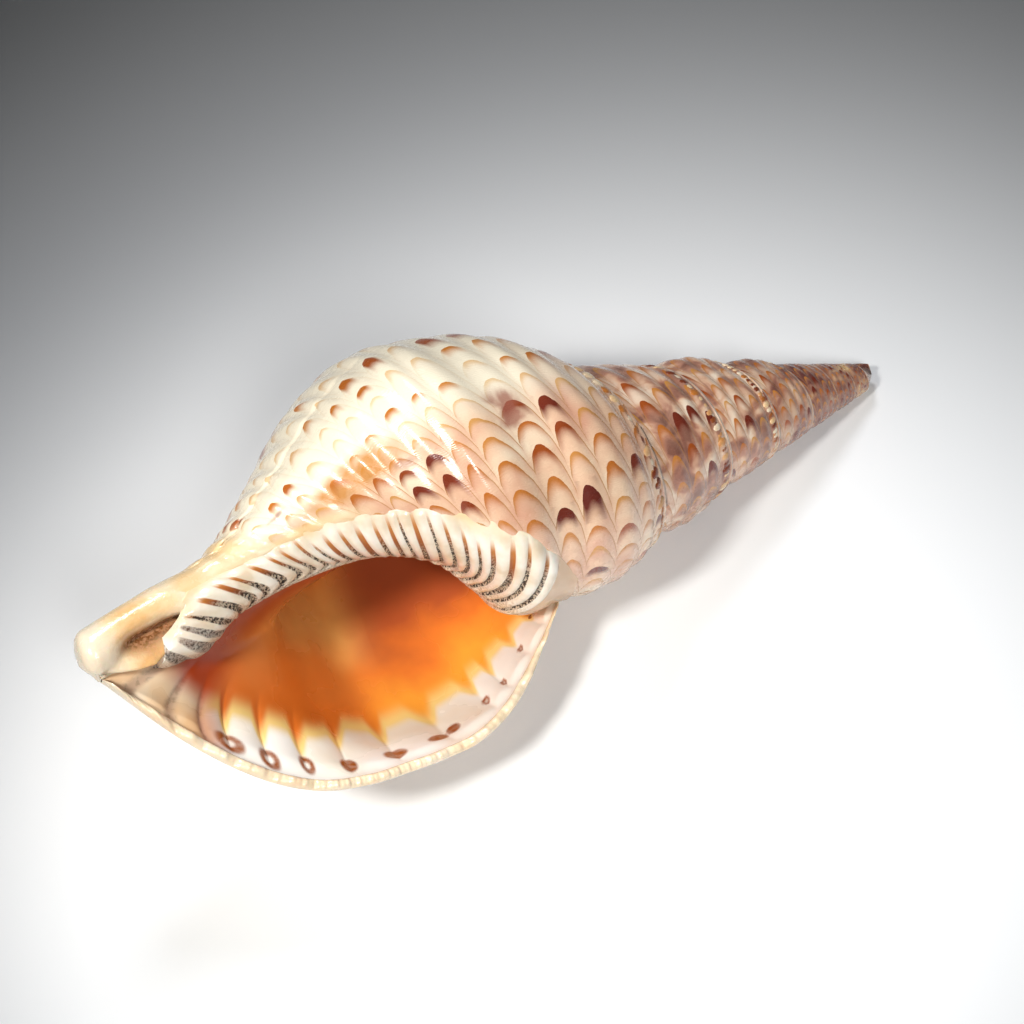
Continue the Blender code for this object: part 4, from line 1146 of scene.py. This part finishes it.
# %% The rolled edge
ROLL = 1.8
CANAL_ROLL = 1.8         # added at the canal
PAD_ROLL = 0.7
ROLL_ROWS = np.linspace(0.0, 1.0, 260)
ROLL_STEPS = np.linspace(0.0, math.pi, 13)
outside_edge = across_whorl(0.0, ROLL_ROWS * 3.0)
inside_edge = wall_row(0.0)
inside_edge = np.stack([np.interp(ROLL_ROWS, HOLLOW_ROWS, inside_edge[:, k]) for k in range(3)], axis=1)
roll_pads = np.interp(ROLL_ROWS, PAD_ROWS[::-1], np.arange(len(PAD_ROWS))[::-1])
roll = ROLL + CANAL_ROLL * smooth((ROLL_ROWS - 0.86) / 0.1) - PAD_ROLL * np.cos(2.0 * math.pi * roll_pads)
roll += 0.25 * np.sin(211.0 * ROLL_ROWS) + 0.2 * np.sin(463.0 * ROLL_ROWS + 1.0)
middle = (outside_edge + inside_edge) / 2.0
half = (outside_edge - inside_edge) / 2.0
bulge = np.outer(roll, (0.0, 1.0, 0.0))
roll_points = np.concatenate([middle + half * math.cos(step) + bulge * math.sin(step) for step in ROLL_STEPS])
lip_edge = new_piece("lip_edge", lie_down(roll_points), grid_faces(len(ROLL_STEPS), len(ROLL_ROWS)),
                     {"u": np.tile(ROLL_ROWS, len(ROLL_STEPS)), "v": np.full(len(roll_points), 2.96)})
lip_edge.data.materials.append(snout_finish)
finish_piece(lip_edge)

# %% [markdown]
# ## Camera, floor and light
# The camera stands where the picture was taken from, found by fitting the solid's outline to it. Its lens
# is as long as that fit asked for, so the snout isn't drawn too large against the tip.

# %% Camera
camera = bpy.data.objects.new("camera", bpy.data.cameras.new("camera"))
bpy.context.scene.collection.objects.link(camera)
camera.location = (-0.19219, -0.34792, 0.65065)
camera.rotation_euler = Euler((0.57855, 0.02170, -0.53029))
camera.data.sensor_width = 36.0
camera.data.lens = 70.3125
camera.data.clip_start = 0.01
bpy.context.scene.camera = camera
bpy.context.scene.view_settings.view_transform = "Standard"
print("camera at", [round(value, 3) for value in camera.location])

# %% [markdown]
# The shell lies on a pale paper sweep. A real one curves up behind the object, but from above only its flat
# part shows, so one large face will do.

# %% Floor
FLOOR_HALF = 4.0
floor_mesh = bpy.data.meshes.new("floor")
floor_mesh.from_pydata([(x * FLOOR_HALF, y * FLOOR_HALF, 0.0) for x, y in (
    (-1, -1), (1, -1), (1, 1), (-1, 1))], [], [(0, 1, 2, 3)])
floor = bpy.data.objects.new("floor", floor_mesh)
bpy.context.scene.collection.objects.link(floor)
paper, tree, shader = new_finish("matt_white_paper")
plug(tree, shader, {"Base Color": "eef0f2", "Roughness": 0.9})
floor_mesh.materials.append(paper)
print("floor:", paper.name)

# %% [markdown]
# Three soft lamps above the shell each throw one pool of light. The key, from the snout's side, throws the
# shadow to the right, one lamp fills from behind, and one from the front reaches into the mouth. Spots are
# used rather than an even sky because the floor grows dim beyond their pools, as it does in the picture.

# %% Lights
LIT_POINT = Vector((-0.03, -0.03, 0.03))
# Azimuth and elevation in degrees, distance and radius in metres, watts, tint, aim on the floor, cone
LAMPS = {"key": (-168.0, 55.0, 0.9, 0.07, 29.0, "fffcf6", (-0.04, -0.06), 33.0),
         "back_fill": (80.0, 55.0, 1.1, 0.15, 25.0, "f6f9ff", (-0.1, -0.4), 62.0),
         "front_fill": (-100.0, 50.0, 1.1, 0.18, 31.0, "fffefc", (0.06, -0.08), 40.0)}
for name, (azimuth, elevation, distance, radius, watts, tint, aim, cone) in LAMPS.items():
    light = bpy.data.lights.new(name, "SPOT")
    light.energy, light.shadow_soft_size, light.color = watts, radius, colour(tint)[:3]
    light.spot_size, light.spot_blend = math.radians(cone), 1.0
    lamp = bpy.data.objects.new(name, light)
    way = Euler((0.0, -math.radians(elevation), math.radians(azimuth))).to_matrix() @ Vector((1.0, 0.0, 0.0))
    lamp.location = LIT_POINT + way * distance
    lamp.rotation_euler = (Vector((*aim, 0.0)) - lamp.location).to_track_quat("-Z", "Y").to_euler()
    bpy.context.scene.collection.objects.link(lamp)
    print(name, "stands at", [round(value, 3) for value in lamp.location])
world = bpy.data.worlds.new("studio")
world.use_nodes = True
plug(world.node_tree, world.node_tree.nodes["Background"], {"Color": "dfe3ea", "Strength": 0.02})
bpy.context.scene.world = world
